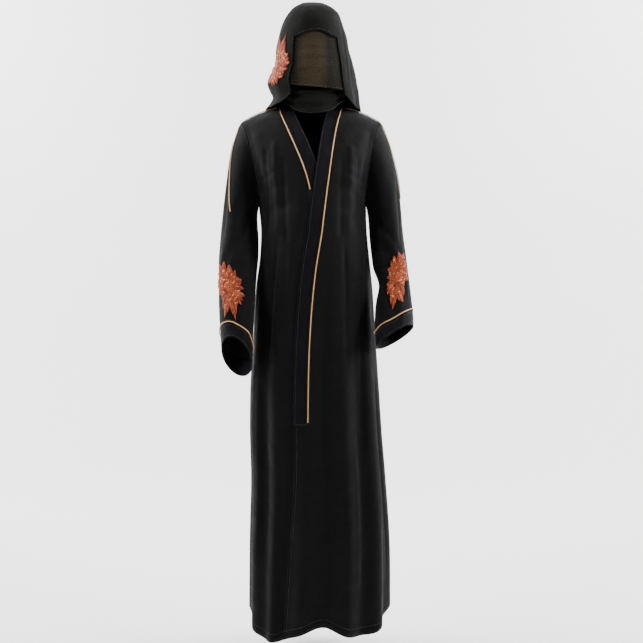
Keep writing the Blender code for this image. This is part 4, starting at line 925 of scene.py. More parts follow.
# %% Sleeve shapes
RIGHT_SLEEVE = table(
    "outer inner depth raise",
    ((0.222, 0.000, -0.110), (0.150, -0.002, -0.312), 0.066, 0),
    ((0.234, -0.004, -0.190), (0.146, -0.014, -0.360), 0.066, 2),
    ((0.243, -0.010, -0.270), (0.145, -0.030, -0.410), 0.067, 4),
    ((0.250, -0.022, -0.350), (0.148, -0.048, -0.458), 0.068, 8),
    ((0.254, -0.040, -0.425), (0.151, -0.064, -0.508), 0.069, 14),
    ((0.252, -0.062, -0.495), (0.153, -0.082, -0.560), 0.070, 24),
    ((0.249, -0.084, -0.560), (0.155, -0.100, -0.612), 0.072, 36),
    ((0.243, -0.104, -0.628), (0.156, -0.116, -0.662), 0.074, 46),
    ((0.240, -0.114, -0.664), (0.156, -0.124, -0.694), 0.075, 50),
)
LEFT_SLEEVE = table(
    "outer inner depth raise",
    ((0.221, 0.000, -0.110), (0.160, -0.002, -0.312), 0.066, 0),
    ((0.241, -0.002, -0.190), (0.163, -0.010, -0.360), 0.064, 0),
    ((0.250, -0.006, -0.270), (0.167, -0.022, -0.405), 0.063, 0),
    ((0.256, -0.014, -0.345), (0.173, -0.034, -0.448), 0.062, 3),
    ((0.264, -0.028, -0.415), (0.187, -0.048, -0.492), 0.062, 6),
    ((0.270, -0.046, -0.472), (0.178, -0.066, -0.540), 0.064, 10),
    ((0.275, -0.064, -0.524), (0.174, -0.082, -0.588), 0.066, 14),
    ((0.279, -0.080, -0.572), (0.175, -0.097, -0.630), 0.070, 18),
    ((0.279, -0.090, -0.602), (0.176, -0.106, -0.655), 0.072, 22),
)
ARMHOLE_BLEND, SLEEVE_FOLD_EASE = 0.22, 0.12
CUFF_SHARES = {1: 0.150, -1: 0.135}
SLEEVE_FOLDS = table(
    "from to start end depth spread",
    (0.10, 0.60, 118, 92, -0.0060, 18), (0.16, 0.66, 66, 50, 0.0050, 19), (0.34, 0.88, 150, 128, 0.0050, 19),
    (0.55, 0.90, 92, 84, -0.0040, 17), (0.12, 0.72, 236, 262, -0.0065, 18),
    (0.22, 0.88, 300, 286, 0.0055, 19),
    (0.55, 0.90, 222, 236, -0.0040, 18),
)
SLEEVE_CREASES = {
    1: table(
        "from to start end depth spread",
        (150, 96, 0.06, 0.30, -0.0049, 8), (138, 70, 0.14, 0.44, -0.0043, 7),
        (176, 36, 0.42, 0.58, -0.0070, 7),
        (170, 48, 0.34, 0.48, 0.0060, 9), (150, 120, 0.52, 0.78, -0.0052, 6),
        (108, 58, 0.30, 0.58, 0.0041, 8),
        (160, 104, 0.42, 0.66, -0.0043, 8), (126, 88, 0.60, 0.84, -0.0038, 7),
        (60, 40, 0.50, 0.80, 0.0035, 8),
        (28, 52, 0.20, 0.50, -0.0035, 8), (200, 262, 0.10, 0.40, -0.0046, 8),
        (240, 296, 0.36, 0.62, -0.0041, 8),
        (282, 268, 0.58, 0.88, 0.0035, 8), (330, 312, 0.24, 0.56, -0.0032, 8),
    ),
    -1: table(
        "from to start end depth spread",
        (146, 92, 0.05, 0.34, -0.0052, 8), (132, 64, 0.18, 0.50, -0.0041, 7),
        (112, 66, 0.34, 0.60, 0.0043, 8),
        (158, 96, 0.46, 0.72, -0.0046, 8), (120, 84, 0.64, 0.88, -0.0035, 7), (56, 36, 0.46, 0.74, 0.0032, 8),
        (24, 46, 0.16, 0.46, -0.0032, 8), (204, 258, 0.08, 0.42, -0.0043, 8),
        (236, 290, 0.40, 0.66, -0.0041, 8),
        (278, 262, 0.60, 0.90, 0.0038, 8), (334, 318, 0.28, 0.60, -0.0035, 8),
    ),
}


def sleeve_panel(side):
    """Rings: the middle plus half the width times cosine, plus the raised depth times sine."""
    rows = LEFT_SLEEVE if side > 0 else RIGHT_SLEEVE
    flip = np.array([side, 1, 1])
    ring = np.concatenate([armhole_curve(side, -1)[::-1], armhole_curve(side, 1)[1:-1]]) * flip
    count = len(ring)
    places = np.linspace(0, 1, len(rows) + 1)
    outer_line = np.array([ring[0]] + [row["outer"] for row in rows])
    inner_line = np.array([ring[count // 2]] + [row["inner"] for row in rows])
    cuff = 1 - CUFF_SHARES[side]
    shares = np.concatenate([np.linspace(0, cuff, SLEEVE_ROWS + 1), np.linspace(cuff, 1, CUFF_ROWS + 1)[1:]])
    outer, inner = smooth_through(places, outer_line, shares), smooth_through(places, inner_line, shares)
    depth = smooth_through(places, [rows[0]["depth"]] + [row["depth"] for row in rows], shares)
    raised = np.radians(smooth_through(places, [0] + [row["raise"] for row in rows], shares))
    forward = np.stack([0 * raised, -np.cos(raised), np.sin(raised)], axis=-1) * depth[:, None]
    turn = np.linspace(0, 2 * math.pi, count, endpoint=False)[None, :, None]
    grid = ((outer + inner) / 2)[:, None] + ((outer - inner) / 2)[:, None] * np.cos(turn)
    grid = grid + forward[:, None] * np.sin(turn)
    ease = (1 - smooth_step(shares / ARMHOLE_BLEND))[:, None, None]
    grid = grid + (ring - grid[0])[None] * ease
    return Panel(grid * flip, flip=side < 0, closed=True), shares


def sleeve_fold(panel, shares, side):
    """Folds: each depth times a bell round an angle that drifts along the sleeve; then the creases."""
    angle = np.linspace(0, 360, panel.grid.shape[1], endpoint=False)[None]
    share = shares[:, None]
    total = np.zeros(panel.grid.shape[:2])
    for fold in SLEEVE_FOLDS:
        place = np.clip((share - fold["from"]) / (fold["to"] - fold["from"]), 0, 1)
        centre = fold["start"] + (fold["end"] - fold["start"]) * place
        begun = smooth_step((share - fold["from"]) / SLEEVE_FOLD_EASE)
        ended = smooth_step((share - fold["to"]) / SLEEVE_FOLD_EASE)
        total += fold["depth"] * begun * (1 - ended) * bell(angle_between(angle, centre), fold["spread"])
    return total + creases(angle, share, SLEEVE_CREASES[side])


sleeves = {side: sleeve_panel(side) for side in (1, -1)}
print("rings and columns of a sleeve:", sleeves[1][0].grid.shape[:2])

# %% [markdown]
# Sewing the robe together
#
# All panels are joined before anything is folded, so that a fold moves both sides of a seam by
# the same amount. Folds fade out near the front edges and the side seams, where the cloth is
# held. The panels are joined once more after that, because folds turn the cloth's directions.

# %% Robe panels
panels = [fronts[1][0], fronts[-1][0], back, sleeves[1][0], sleeves[-1][0], strips[1], strips[-1]]
directions = join(panels)

columns = np.arange(BAND_COLUMNS + FRONT_COLUMNS + 1)
front_ease = smooth_step(columns[::-1] / (3 * FINE)) * smooth_step(columns / (4 * FINE))
for number, side in enumerate((1, -1)):
    panel, angles = fronts[side]
    shift = body_fold(angles, panel.grid[..., 2]) + yoke_fold(panel.grid, "front") * front_ease
    shift = shift + (under_layer(panel.grid) if side < 0 else 0)
    panel.grid = panel.grid + directions[number] * shift[..., None]
back_columns = np.arange(back.grid.shape[1])
back_ease = smooth_step(np.minimum(back_columns, back_columns[::-1]) / (3 * FINE))
shift = body_fold(back_angles, back.grid[..., 2]) + yoke_fold(back.grid, "back") * back_ease
back.grid = back.grid + directions[2] * shift[..., None]
for number, side in ((3, 1), (4, -1)):
    panel, shares = sleeves[side]
    panel.grid = panel.grid + directions[number] * sleeve_fold(panel, shares, side)[..., None]
join(panels)
for side in (1, -1):
    square_to_shoulder(fronts[side][0], slice(BAND_COLUMNS + 1, -1), side)
square_to_shoulder(back, slice(1, SHOULDER_COLUMNS), 1)
square_to_shoulder(back, slice(-SHOULDER_COLUMNS, -1), -1)
print("points in the robe:", sum(panel.grid[..., 0].size for panel in panels))

# %% [markdown]
# Cutting the panels into pieces
#
# Each panel becomes a wall of its own: two fronts, the back, two sleeves, two cuffs, and the
# band in its left and right halves, which meet at the back of the neck. Every edge that is sewn
# is drawn back by half a gap, so that neighbours lie side by side and don't touch.

# %% Robe pieces
every = slice(None)
SIDES = ((1, "left"), (-1, "right"))
made = {"back": cloth("cloth_back", back, ROBE, grid=drawn_back(
    back.grid, (every, 0, 0, 1), (every, -1, 0, -1), (-1, every, -1, 0)))}
bands, cuffs, uppers = {}, {}, {}
above = slice(HEM_ROWS, None)
for side, name in SIDES:
    panel, strip = fronts[side][0], strips[side]
    grid = drawn_back(
        panel.grid, (every, -1, 0, -1), (-1, slice(BAND_COLUMNS, None), -1, 0),
        (above, BAND_COLUMNS, 0, 1), (HEM_ROWS, slice(0, BAND_COLUMNS + 1), -1, 0))
    mask = np.ones((panel.grid.shape[0] - 1, panel.grid.shape[1] - 1), bool)
    mask[HEM_ROWS:, :BAND_COLUMNS] = False
    made["front_" + name] = cloth("cloth_front_" + name, panel, ROBE, grid=grid, mask=mask)

    band = Panel(np.concatenate([panel.grid[above, : BAND_COLUMNS + 1], strip.grid[1:]]), flip=side < 0)
    band.outward = np.concatenate([panel.outward[above, : BAND_COLUMNS + 1], strip.outward[1:]])
    grid = drawn_back(band.grid, (every, BAND_COLUMNS, 0, -1), (0, every, 1, 0), (-1, every, -1, 0))
    made["band_" + name] = cloth("cloth_band_" + name, band, BAND, grid=grid)
    bands[side] = band

    panel = sleeves[side][0]
    for rows, store, key, finish, slot in (
        (slice(0, SLEEVE_ROWS + 1), uppers, "sleeve_", ROBE, "robe_cloth"),
        (slice(SLEEVE_ROWS, None), cuffs, "cuff_", BAND, "band_cloth"),
    ):
        store[side] = Panel(panel.grid[rows], panel.flip, True)
        store[side].outward = panel.outward[rows]
        seams = [(0, every, 1, 0)] + ([(-1, every, -1, 0)] if key == "sleeve_" else [])
        made[key + name] = cloth("cloth_" + key + name, store[side], finish,
                                 grid=drawn_back(store[side].grid, *seams))
print({name: round(area_of(cloth_piece), 3) for name, cloth_piece in made.items()})

# %% [markdown]
# The scarf
#
# The scarf is one length of black crepe. It goes over the crown, leaves the face free, crosses
# under the chin and falls down the back of the neck. These tables hold its sections, the height
# of its lower edge round the neck, its folds, and the part that is wound under the chin.

# %% Scarf tables
HOOD_SECTIONS = table(
    "height right left front back",
    (0.290, 0.030, 0.040, 0.034, 0.040), (0.280, 0.047, 0.058, 0.058, 0.064),
    (0.263, 0.063, 0.077, 0.080, 0.086), (0.246, 0.074, 0.084, 0.092, 0.099),
    (0.222, 0.084, 0.092, 0.102, 0.109), (0.198, 0.090, 0.100, 0.107, 0.114),
    (0.162, 0.098, 0.106, 0.110, 0.117), (0.129, 0.100, 0.114, 0.111, 0.116),
    (0.112, 0.103, 0.117, 0.111, 0.115), (0.095, 0.112, 0.120, 0.111, 0.114),
    (0.068, 0.122, 0.124, 0.110, 0.113), (0.045, 0.115, 0.129, 0.107, 0.113),
    (0.028, 0.107, 0.132, 0.104, 0.114), (0.011, 0.115, 0.134, 0.101, 0.115),
    (-0.006, 0.129, 0.137, 0.100, 0.117), (-0.030, 0.146, 0.142, 0.100, 0.121),
    (-0.200, 0.150, 0.146, 0.100, 0.132),
)
CROWN_TOP = np.array([0.005, 0.004, 0.294])
DOME_START = 0.290
FACE_TOP, FACE_ARCH, FACE_ANGLE, FACE_HALF_ANGLE = 0.200, 0.016, 8.0, 35.0
HOOD_COLUMNS, FACE_COLUMNS, HOOD_ROWS, CROWN_ROWS = 22 * FINE, 5 * FINE, 8 * FINE, 6 * FINE
HOOD_EDGE = table(
    "angle height",
    (43, 0.034), (56, 0.010), (70, 0.000), (90, -0.0084), (112, -0.022), (140, -0.120), (180, -0.180),
    (220, -0.130), (247, -0.030), (270, -0.0034), (300, 0.002), (318, 0.012), (333, 0.036),
)
HOOD_FOLDS = table(
    "angle start depth spread",
    (72, 0.17, -0.0045, 8), (90, 0.17, 0.0030, 8), (112, 0.13, -0.0060, 9), (134, 0.15, 0.0060, 9),
    (155, 0.12, -0.0070, 9), (178, 0.14, 0.0070, 10), (202, 0.11, -0.0070, 9), (226, 0.15, 0.0055, 9),
    (248, 0.12, -0.0050, 9), (292, 0.12, -0.0030, 10),
)
HOOD_CREASES = table(
    "from to start end depth spread",
    (62, 54, 0.24, 0.05, -0.0020, 3.0), (82, 64, 0.22, 0.01, -0.0024, 3.2),
    (100, 82, 0.20, 0.00, 0.0020, 3.4), (120, 126, 0.22, -0.06, -0.0024, 3.4),
    (146, 142, 0.20, -0.10, 0.0022, 3.4), (168, 172, 0.22, -0.14, -0.0026, 3.4),
    (190, 188, 0.20, -0.15, 0.0022, 3.4), (214, 216, 0.21, -0.10, -0.0024, 3.4),
    (238, 234, 0.22, -0.06, 0.0022, 3.4), (262, 258, 0.21, 0.00, -0.0022, 3.4),
    (282, 300, 0.22, 0.03, -0.0022, 3.2), (296, 316, 0.17, 0.03, 0.0018, 3.2),
)
WRAP_SECTIONS = table(
    "angle low high reach",
    (-84, 0.030, 0.064, 0.092), (-56, 0.004, 0.050, 0.088), (-24, -0.018, 0.042, 0.089),
    (6, -0.022, 0.042, 0.091), (36, -0.012, 0.050, 0.091), (66, 0.014, 0.068, 0.094),
    (92, 0.034, 0.080, 0.096),
)
WRAP_COLUMNS, WRAP_ROWS = 20 * FINE, 6 * FINE
WRAP_ROLLS, WRAP_ROLL_DEPTH = 2.0, 0.0035
WRAP_TUCK, WRAP_TUCK_GAP, WRAP_END_GAP, WRAP_END = 34.0, 0.0036, 0.0009, 6.0
WRAP_CREASES = table(
    "from to start end depth spread",
    (0.30, 0.62, -60, 60, -0.0016, 0.035), (0.74, 0.40, -70, 40, -0.0013, 0.030),
    (0.12, 0.30, -50, 70, 0.0012, 0.035), (0.88, 0.70, -30, 80, -0.0012, 0.030),
)
HOOD_FOLD_GROWTH, WRAP_WIDTH_SHARE, WRAP_MIDDLE = 0.10, 0.92, 0.006
print("scarf sections:", len(HOOD_SECTIONS), "edge points:", len(HOOD_EDGE))

# %% [markdown]
# Over the head and under the chin
#
# Over the head the scarf is a stack of rounded sections that closes on the crown as a dome does.
# The face is left open in its front columns. Under the chin it lies over the lower edge of the
# veil in soft rolls, and both ends of that stretch are tucked inside the scarf over the head.

# %% Scarf shapes
def hood_point(angle, height):
    """The rounded section; above the dome's start its sizes shrink as the square root of what is left."""
    height = np.asarray(height, float)
    left = np.sqrt(np.clip((CROWN_TOP[2] - height) / (CROWN_TOP[2] - DOME_START), 0, 1))
    sizes = [read(HOOD_SECTIONS, column, height) * left for column in ("left", "right", "front", "back")]
    x, y = rounded(angle, *sizes)
    middle = (1 - left)[..., None] * CROWN_TOP * [1, 1, 0]
    return np.stack([x, y, height + 0 * x], axis=-1) + middle


def hood_fold(angle, height):
    """Folds grown in below their starting heights, and the short creases."""
    total = np.zeros(np.shape(angle))
    for fold in HOOD_FOLDS:
        grown = smooth_step((fold["start"] - height) / HOOD_FOLD_GROWTH)
        total += fold["depth"] * grown * bell(angle_between(angle, fold["angle"]), fold["spread"])
    return total + creases(angle, height, HOOD_CREASES)


def hood_panel():
    """Even rows from the lower edge to the top of the face, then rows that close in on the crown."""
    open_to = FACE_ANGLE + FACE_HALF_ANGLE
    around = np.linspace(open_to, open_to + 360 - 2 * FACE_HALF_ANGLE, HOOD_COLUMNS + 1)
    face = np.linspace(around[-1], open_to + 360, FACE_COLUMNS + 1)[1:-1]
    angles = np.concatenate([around, face])
    edge = read(HOOD_EDGE, "height", np.concatenate([around, 0 * face + around[-1]]), key="angle")
    top = FACE_TOP - FACE_ARCH * smooth_step(np.abs(angle_between(angles, FACE_ANGLE)) / FACE_HALF_ANGLE)
    shares = np.linspace(0, 1, HOOD_ROWS + 1)[:, None]
    crown = 1 - (1 - np.linspace(0, 1, CROWN_ROWS + 1)[1:-1, None]) ** 2
    heights = np.concatenate([edge * (1 - shares) + top * shares, top * (1 - crown) + CROWN_TOP[2] * crown])
    angles = np.repeat(angles[None], len(heights), axis=0)
    return Panel(hood_point(angles, heights), closed=True), angles


def inside_hood(angles, heights, gap):
    """Points inside the scarf's wall: those of its own grid, moved in by the cloth and a gap."""
    column = HOOD_COLUMNS * ((angles - FACE_ANGLE - FACE_HALF_ANGLE) % 360) / (360 - 2 * FACE_HALF_ANGLE)
    column = column + 0 * heights
    low, high = (on_grid(hood.grid, np.full(column.shape, row), column)[..., 2] for row in (0, HOOD_ROWS))
    row = HOOD_ROWS * (heights - low) / (high - low)
    return on_grid(hood.grid, row, column) - on_grid(hood.outward, row, column) * (CLOTH + gap)[..., None]


def wrap_panel():
    """Rolls as a cosine up the height; both ends ease onto points inside the scarf over the head."""
    first, last = WRAP_SECTIONS[0]["angle"], WRAP_SECTIONS[-1]["angle"]
    angles = np.linspace(first, last, WRAP_COLUMNS + 1)[None]
    up = np.linspace(0, 1, WRAP_ROWS + 1)[:, None]
    low, high, reach = (read(WRAP_SECTIONS, column, angles, key="angle")
                        for column in ("low", "high", "reach"))
    heights, reach = low * (1 - up) + high * up, reach + 0 * up
    wide = reach * WRAP_WIDTH_SHARE
    x, y = rounded(angles, wide, wide, reach, reach)
    grid = np.stack([x + WRAP_MIDDLE, y, heights], axis=-1)
    roll = WRAP_ROLL_DEPTH * np.cos(2 * math.pi * WRAP_ROLLS * (up - 0.5)) * (1 - (2 * up - 1) ** 4)
    roll = roll + creases(up, angles, WRAP_CREASES)
    from_middle = np.abs(angle_between(angles, (first + last) / 2))
    tucked = smooth_step((from_middle - (last - first) / 2) / WRAP_TUCK + 1)
    grid = grid + unit(grid * [1, 1, 0]) * (roll * (1 - tucked))[..., None]
    ends = bell(angles - first, WRAP_END) + bell(angles - last, WRAP_END)
    gap = WRAP_TUCK_GAP + (WRAP_END_GAP - WRAP_TUCK_GAP) * ends
    return Panel(grid + (inside_hood(angles, heights, gap) - grid) * tucked[..., None])


print("top of the crown:", hood_point(np.array(0.0), CROWN_TOP[2]))

# %% [markdown]
# The scarf as two pieces
#
# The dome ends in one point, so its last ring is closed with three-cornered cells. The mask
# leaves out the cells over the face. The stretch under the chin is a plain panel.

# %% Scarf pieces
hood, hood_angles = hood_panel()
hood.grid = hood.grid + join([hood])[0] * hood_fold(hood_angles, hood.grid[..., 2])[..., None]
join([hood])
rows, columns = hood.grid.shape[:2]
mask = np.ones((rows - 1, columns), bool)
mask[:HOOD_ROWS, HOOD_COLUMNS:] = False
cells = np.concatenate([hood.cells(mask), pole_cells(rows, columns)])
inner = hood.grid - hood.outward * CLOTH
made["scarf_hood"] = wall(
    "cloth_scarf_hood", np.concatenate([hood.grid.reshape(-1, 3), [CROWN_TOP]]),
    np.concatenate([inner.reshape(-1, 3), [CROWN_TOP - [0, 0, CLOTH]]]), cells, SCARF,
    np.concatenate([hood.cloth_map(), [hood.cloth_map()[-1]]]))
wrap = wrap_panel()
join([wrap])
made["scarf_neck_wrap"] = cloth("cloth_scarf_neck_wrap", wrap, SCARF)
print("scarf: %.3f m2" % (area_of(made["scarf_hood"]) + area_of(made["scarf_neck_wrap"])))

# %% [markdown]
# The face veil
#
# The veil has a band across the forehead, a lower layer from the nose down, and a sheer outer
# layer over both. The layers lie inside the scarf's edge, stand forward a little over the nose
# and mouth, and show soft sideways creases. Between the band and the lower layer only the sheer
# layer covers the eyes.

# %% Veil
VEIL_HALF_ANGLE, VEIL_COLUMNS = 43.0, 12 * FINE
VEIL_PROFILE = table(
    "height forward",
    (0.030, 0.004), (0.070, 0.010), (0.110, 0.014), (0.140, 0.015), (0.165, 0.008), (0.188, 0.000),
    (0.215, -0.004),
)
VEIL_LAYERS = table(
    "name low high inset rows slant",
    ("veil_band", 0.178, 0.206, 0.0064, 2, 0.0), ("veil_lower", 0.062, 0.148, 0.0064, 5, -0.008),
    ("veil_outer", 0.047, 0.208, 0.0042, 8, -0.008),
)
VEIL_CREASES = table(
    "height tilt depth spread",
    (0.187, 0.006, -0.0014, 0.0030), (0.162, -0.005, 0.0015, 0.0034), (0.151, 0.004, -0.0018, 0.0028),
    (0.134, -0.006, 0.0016, 0.0036), (0.123, 0.003, -0.0018, 0.0030), (0.104, 0.007, 0.0014, 0.0040),
    (0.086, -0.004, -0.0014, 0.0034),
)


def veil_panel(layer):
    """The scarf's section, less the inset, plus a forward swell as a cubed cosine across the face."""
    beside = np.linspace(-VEIL_HALF_ANGLE, VEIL_HALF_ANGLE, VEIL_COLUMNS + 1)[None]
    up = np.linspace(0, 1, layer["rows"] * FINE + 1)[:, None]
    share = beside / VEIL_HALF_ANGLE
    heights = (layer["low"] + layer["slant"] * share) * (1 - up) + layer["high"] * up
    base = hood_point(beside + FACE_ANGLE, heights)
    grid = base - unit(base * [1, 1, 0]) * layer["inset"]
    middle = np.cos(0.5 * math.pi * share)
    forward = read(VEIL_PROFILE, "forward", heights) * middle**3
    for crease in VEIL_CREASES:
        distance = heights - crease["height"] - crease["tilt"] * share
        forward += crease["depth"] * middle * bell(distance, crease["spread"])
    grid[..., 1] -= forward
    return Panel(grid)


veils = {}
for layer in VEIL_LAYERS:
    name = layer["name"]
    veils[name] = veil_panel(layer)
    join([veils[name]])
    finish = SHEER if name == "veil_outer" else VEIL
    made[name] = cloth("cloth_" + name, veils[name], finish, thickness=VEIL_CLOTH)
print("veil layers:", {name: made[name].data.name for name in veils})

# %% [markdown]
# Cords
#
# A cord is a tube swept along a path that lies on the cloth's own points, moved out by its
# radius. Each ring stands square to the path. The two front cords follow the band's seam, one
# follows each cuff's seam, and one runs from the neck along each shoulder and down the sleeve.

# %% Cords
PIPING_RADIUS, PIPING_LIFT, CORD_SIDES, CORD_STEP = 0.0014, 0.0006, 12, 0.004
SLEEVE_PIPING_SHARE = 0.36
SLEEVE_PIPING_ANGLES = {1: 16.0, -1: 62.0}
SHOULDER_PIPING_SHARES, RIGHT_PIPING_END = (0.07, 0.9), -0.235


def tube(name, path, ring=False):
    """Rings of points: the path plus the radius times cosine and sine along two directions across it."""
    path = np.asarray(path, float)
    closed_path = np.concatenate([path, path[:1]]) if ring else path
    length = np.linalg.norm(np.diff(closed_path, axis=0), axis=1).sum()
    count = max(8, round(length / CORD_STEP))
    centre = along(closed_path, np.linspace(0, 1, count + 1))
    centre = centre[:-1] if ring else centre
    run = np.roll(centre, -1, axis=0) - np.roll(centre, 1, axis=0) if ring else np.gradient(centre, axis=0)
    run = unit(run)
    side = np.empty_like(run)
    direction = np.array([0.3, -1.0, 0.2])
    for index, heading in enumerate(run):
        direction = unit(direction - (direction @ heading) * heading)
        side[index] = direction
    other = np.cross(run, side)
    turn = np.linspace(0, 2 * math.pi, CORD_SIDES, endpoint=False)[None, :, None]
    round_it = side[:, None] * np.cos(turn) + other[:, None] * np.sin(turn)
    grid = centre[:, None] + PIPING_RADIUS * round_it
    around = np.arange(CORD_SIDES) / CORD_SIDES * 2 * math.pi * PIPING_RADIUS
    places = np.arange(len(centre)) * CORD_STEP
    cloth_map = np.stack(np.meshgrid(around, places), axis=-1).reshape(-1, 2)
    panel = Panel(grid, closed=True)
    faces = panel.cells().tolist()
    if ring:
        last = np.arange(CORD_SIDES) + (len(centre) - 1) * CORD_SIDES
        first = np.arange(CORD_SIDES)
        faces += np.stack([last, np.roll(last, -1), np.roll(first, -1), first], axis=1).tolist()
    else:
        points = grid[..., 0].size
        faces += [list(range(CORD_SIDES))[::-1], list(range(points - CORD_SIDES, points))]
    return piece(name, grid.reshape(-1, 3), faces, CORD, cloth_map)


lift = PIPING_RADIUS + PIPING_LIFT
cords = {}
for side, name in SIDES:
    band = bands[side]
    path = band.grid[:, BAND_COLUMNS] + unit(band.outward[:, BAND_COLUMNS]) * lift
    path = path[band.grid[:, BAND_COLUMNS, 2] > RIGHT_PIPING_END] if side < 0 else path
    cords["piping_front_" + name] = tube("cord_front_" + name, path[1:-1])

    panel = sleeves[side][0]
    ring = panel.grid[SLEEVE_ROWS] + unit(panel.outward[SLEEVE_ROWS]) * lift
    cords["piping_cuff_" + name] = tube("cord_cuff_" + name, ring, ring=True)

    down = np.arange(0, round(SLEEVE_PIPING_SHARE * SLEEVE_ROWS) + 1)
    across = down / down[-1] * SLEEVE_PIPING_ANGLES[side] / 360 * panel.grid.shape[1]
    lower = on_grid(panel.grid, down, across) + unit(on_grid(panel.outward, down, across)) * lift
    shoulder = shoulder_line(side, np.linspace(*SHOULDER_PIPING_SHARES, 4 * FINE)) + [0, 0, lift]
    cords["piping_sleeve_" + name] = tube("cord_sleeve_" + name, np.concatenate([shoulder, lower[2:]]))
print("cords:", sorted(cords))

# %% [markdown]
# Sewn-on sprays
#
# Each ornament is a dense spray of threadwork with beads and sequins: a thin ground in the form
# of the plain solid, padded leaves over it that end in its points, slim tails, and a flower at
# its heart. The design is a plain one of its own. The tables give its lobes and leaves as angles
# and as shares of its size, and the place of each spray on its panel.

# %% Spray tables
SPRAY_LOBES = table(
    "angle reach width",
    (270, 0.80, 26), (225, 0.92, 24), (315, 0.92, 24), (189, 0.85, 22), (351, 0.85, 22), (153, 0.78, 18),
    (27, 0.78, 18), (108, 1.20, 12), (72, 1.20, 12),
)
SPRAY_HEART = 0.66
LEAVES = table(
    "angle start reach width bend",
    (72, 0.25, 1.22, 0.22, 0.05), (108, 0.25, 1.22, 0.22, -0.05), (64, 0.35, 1.00, 0.15, -0.08),
    (80, 0.40, 1.02, 0.13, 0.08), (100, 0.40, 1.02, 0.13, -0.08), (116, 0.35, 1.00, 0.15, 0.08),
    (270, 0.15, 0.84, 0.30, 0.06), (252, 0.20, 0.88, 0.24, -0.10), (288, 0.20, 0.88, 0.24, 0.10),
    (225, 0.20, 0.95, 0.26, 0.14), (315, 0.20, 0.95, 0.26, -0.14), (206, 0.25, 0.90, 0.22, 0.10),
    (334, 0.25, 0.90, 0.22, -0.10), (189, 0.25, 0.88, 0.24, -0.10), (351, 0.25, 0.88, 0.24, 0.10),
    (170, 0.25, 0.80, 0.20, 0.12), (10, 0.25, 0.80, 0.20, -0.12), (153, 0.25, 0.80, 0.22, 0.10),
    (27, 0.25, 0.80, 0.22, -0.10), (130, 0.30, 0.72, 0.18, 0.10), (50, 0.30, 0.72, 0.18, -0.10),
    (90, 0.20, 0.70, 0.18, 0.04),
)
SPRAYS = table(
    "name side row column rows columns seed",
    ("sleeve_left", 1, 8.70, 4.95, 2.1, 2.9, 11), ("sleeve_right", -1, 9.30, 4.51, 2.1, 3.4, 23),
    ("scarf", 0, 4.80, 19.95, 3.0, 2.0, 37),
)
LEAF_ROWS, LEAF_COLUMNS, PETALS = 10, 4, 7
GROUND_LIFT, GROUND_THICKNESS, GROUND_RINGS, GROUND_SIDES = 0.0008, 0.0010, 12, 96
GROUND_REACH, GRAIN_HEIGHT, GRAINS_ROUND = (0.97, 0.02), 0.0003, 24
LEAF_LIFT, LEAF_EDGE, LEAF_PAD, RIB_DEPTH = 0.0014, 0.0005, 0.0019, 0.0006
print("leaves in a spray:", len(LEAVES), "and petals:", PETALS)

# %% [markdown]
# Laying shapes on cloth
#
# Everything in a spray is laid out in metres on the panel that carries it and raised along that
# panel's outward directions, so that it follows the folds. A leaf bows to one side, is padded
# along its middle and has a groove for its rib.

# %% Shapes on a panel
class Cloth:
    """A place on a panel: metres across and along it become points, raised off its surface."""

    def __init__(self, panel, row, column):
        self.row, self.column, self.width = row, column, panel.grid.shape[1]
        self.grid, self.outward = all_round(panel.grid), all_round(panel.outward)
        near = [on_grid(self.grid, np.array(row + r), np.array(column + c))
                for r, c in ((0, 0), (1, 0), (0, 1))]
        self.row_step, self.column_step = (np.linalg.norm(point - near[0]) for point in near[1:])

    def at(self, across, along_it, raised):
        """Points and outward directions at these distances from the place."""
        row = self.row + along_it / self.row_step
        column = (self.column + across / self.column_step) % self.width
        out = unit(on_grid(self.outward, row, column))
        return on_grid(self.grid, row, column) + out * np.asarray(raised)[..., None], out


def lobed(turn):
    """The outline's reach at these angles: the largest of the heart and of each lobe's bell."""
    reach = np.full(np.shape(turn), SPRAY_HEART)
    for lobe in SPRAY_LOBES:
        reach = np.maximum(reach, lobe["reach"] * bell(angle_between(turn, lobe["angle"]), lobe["width"]))
    return reach


def round_heart(wide, tall, reach, turn):
    """Half the width times reach and cosine across, half the height times reach and sine along."""
    return wide * reach * np.cos(np.radians(turn)), tall * reach * np.sin(np.radians(turn))


def leaf_outline(start, tip, width, bend):
    """Across and along: a line that bows sideways by bend, with a half width of the sine to the 0.8."""
    share = np.linspace(0, 1, LEAF_ROWS + 1)[:, None]
    beside = np.linspace(-1, 1, LEAF_COLUMNS + 1)[None]
    line = tip - start
    square = np.array([-line[1], line[0]])
    spread = width / 2 * (0.05 + np.sin(math.pi * share**0.85) ** 0.8) / np.linalg.norm(line)
    bow = bend * np.sin(math.pi * share)
    flat = start + line * share[..., None] + square * (bow + spread * beside)[..., None]
    return flat, share, beside


def padded_leaves(name, place, leaves, finish):
    """Leaves as closed walls: a pad that falls off as a square to both edges, less a bell for the rib."""
    outer, inner, cells = [], [], []
    for start, tip, width, bend in leaves:
        flat, share, beside = leaf_outline(np.array(start), np.array(tip), width, bend)
        swell = np.sqrt(np.sin(math.pi * np.clip(share, 0.02, 0.98)))
        pad = LEAF_PAD * swell * (1 - beside**2) - RIB_DEPTH * swell * bell(beside, 0.30)
        raised = LEAF_LIFT + LEAF_EDGE + pad
        panel = Panel(place.at(flat[..., 0], flat[..., 1], raised)[0])
        base = place.at(flat[..., 0], flat[..., 1], LEAF_LIFT + 0 * raised)[0]
        cells.append(panel.cells() + sum(len(points) for points in outer))
        outer.append(panel.grid.reshape(-1, 3))
        inner.append(base.reshape(-1, 3))
    return outward_wall(name, np.concatenate(outer), np.concatenate(inner), np.concatenate(cells), finish)


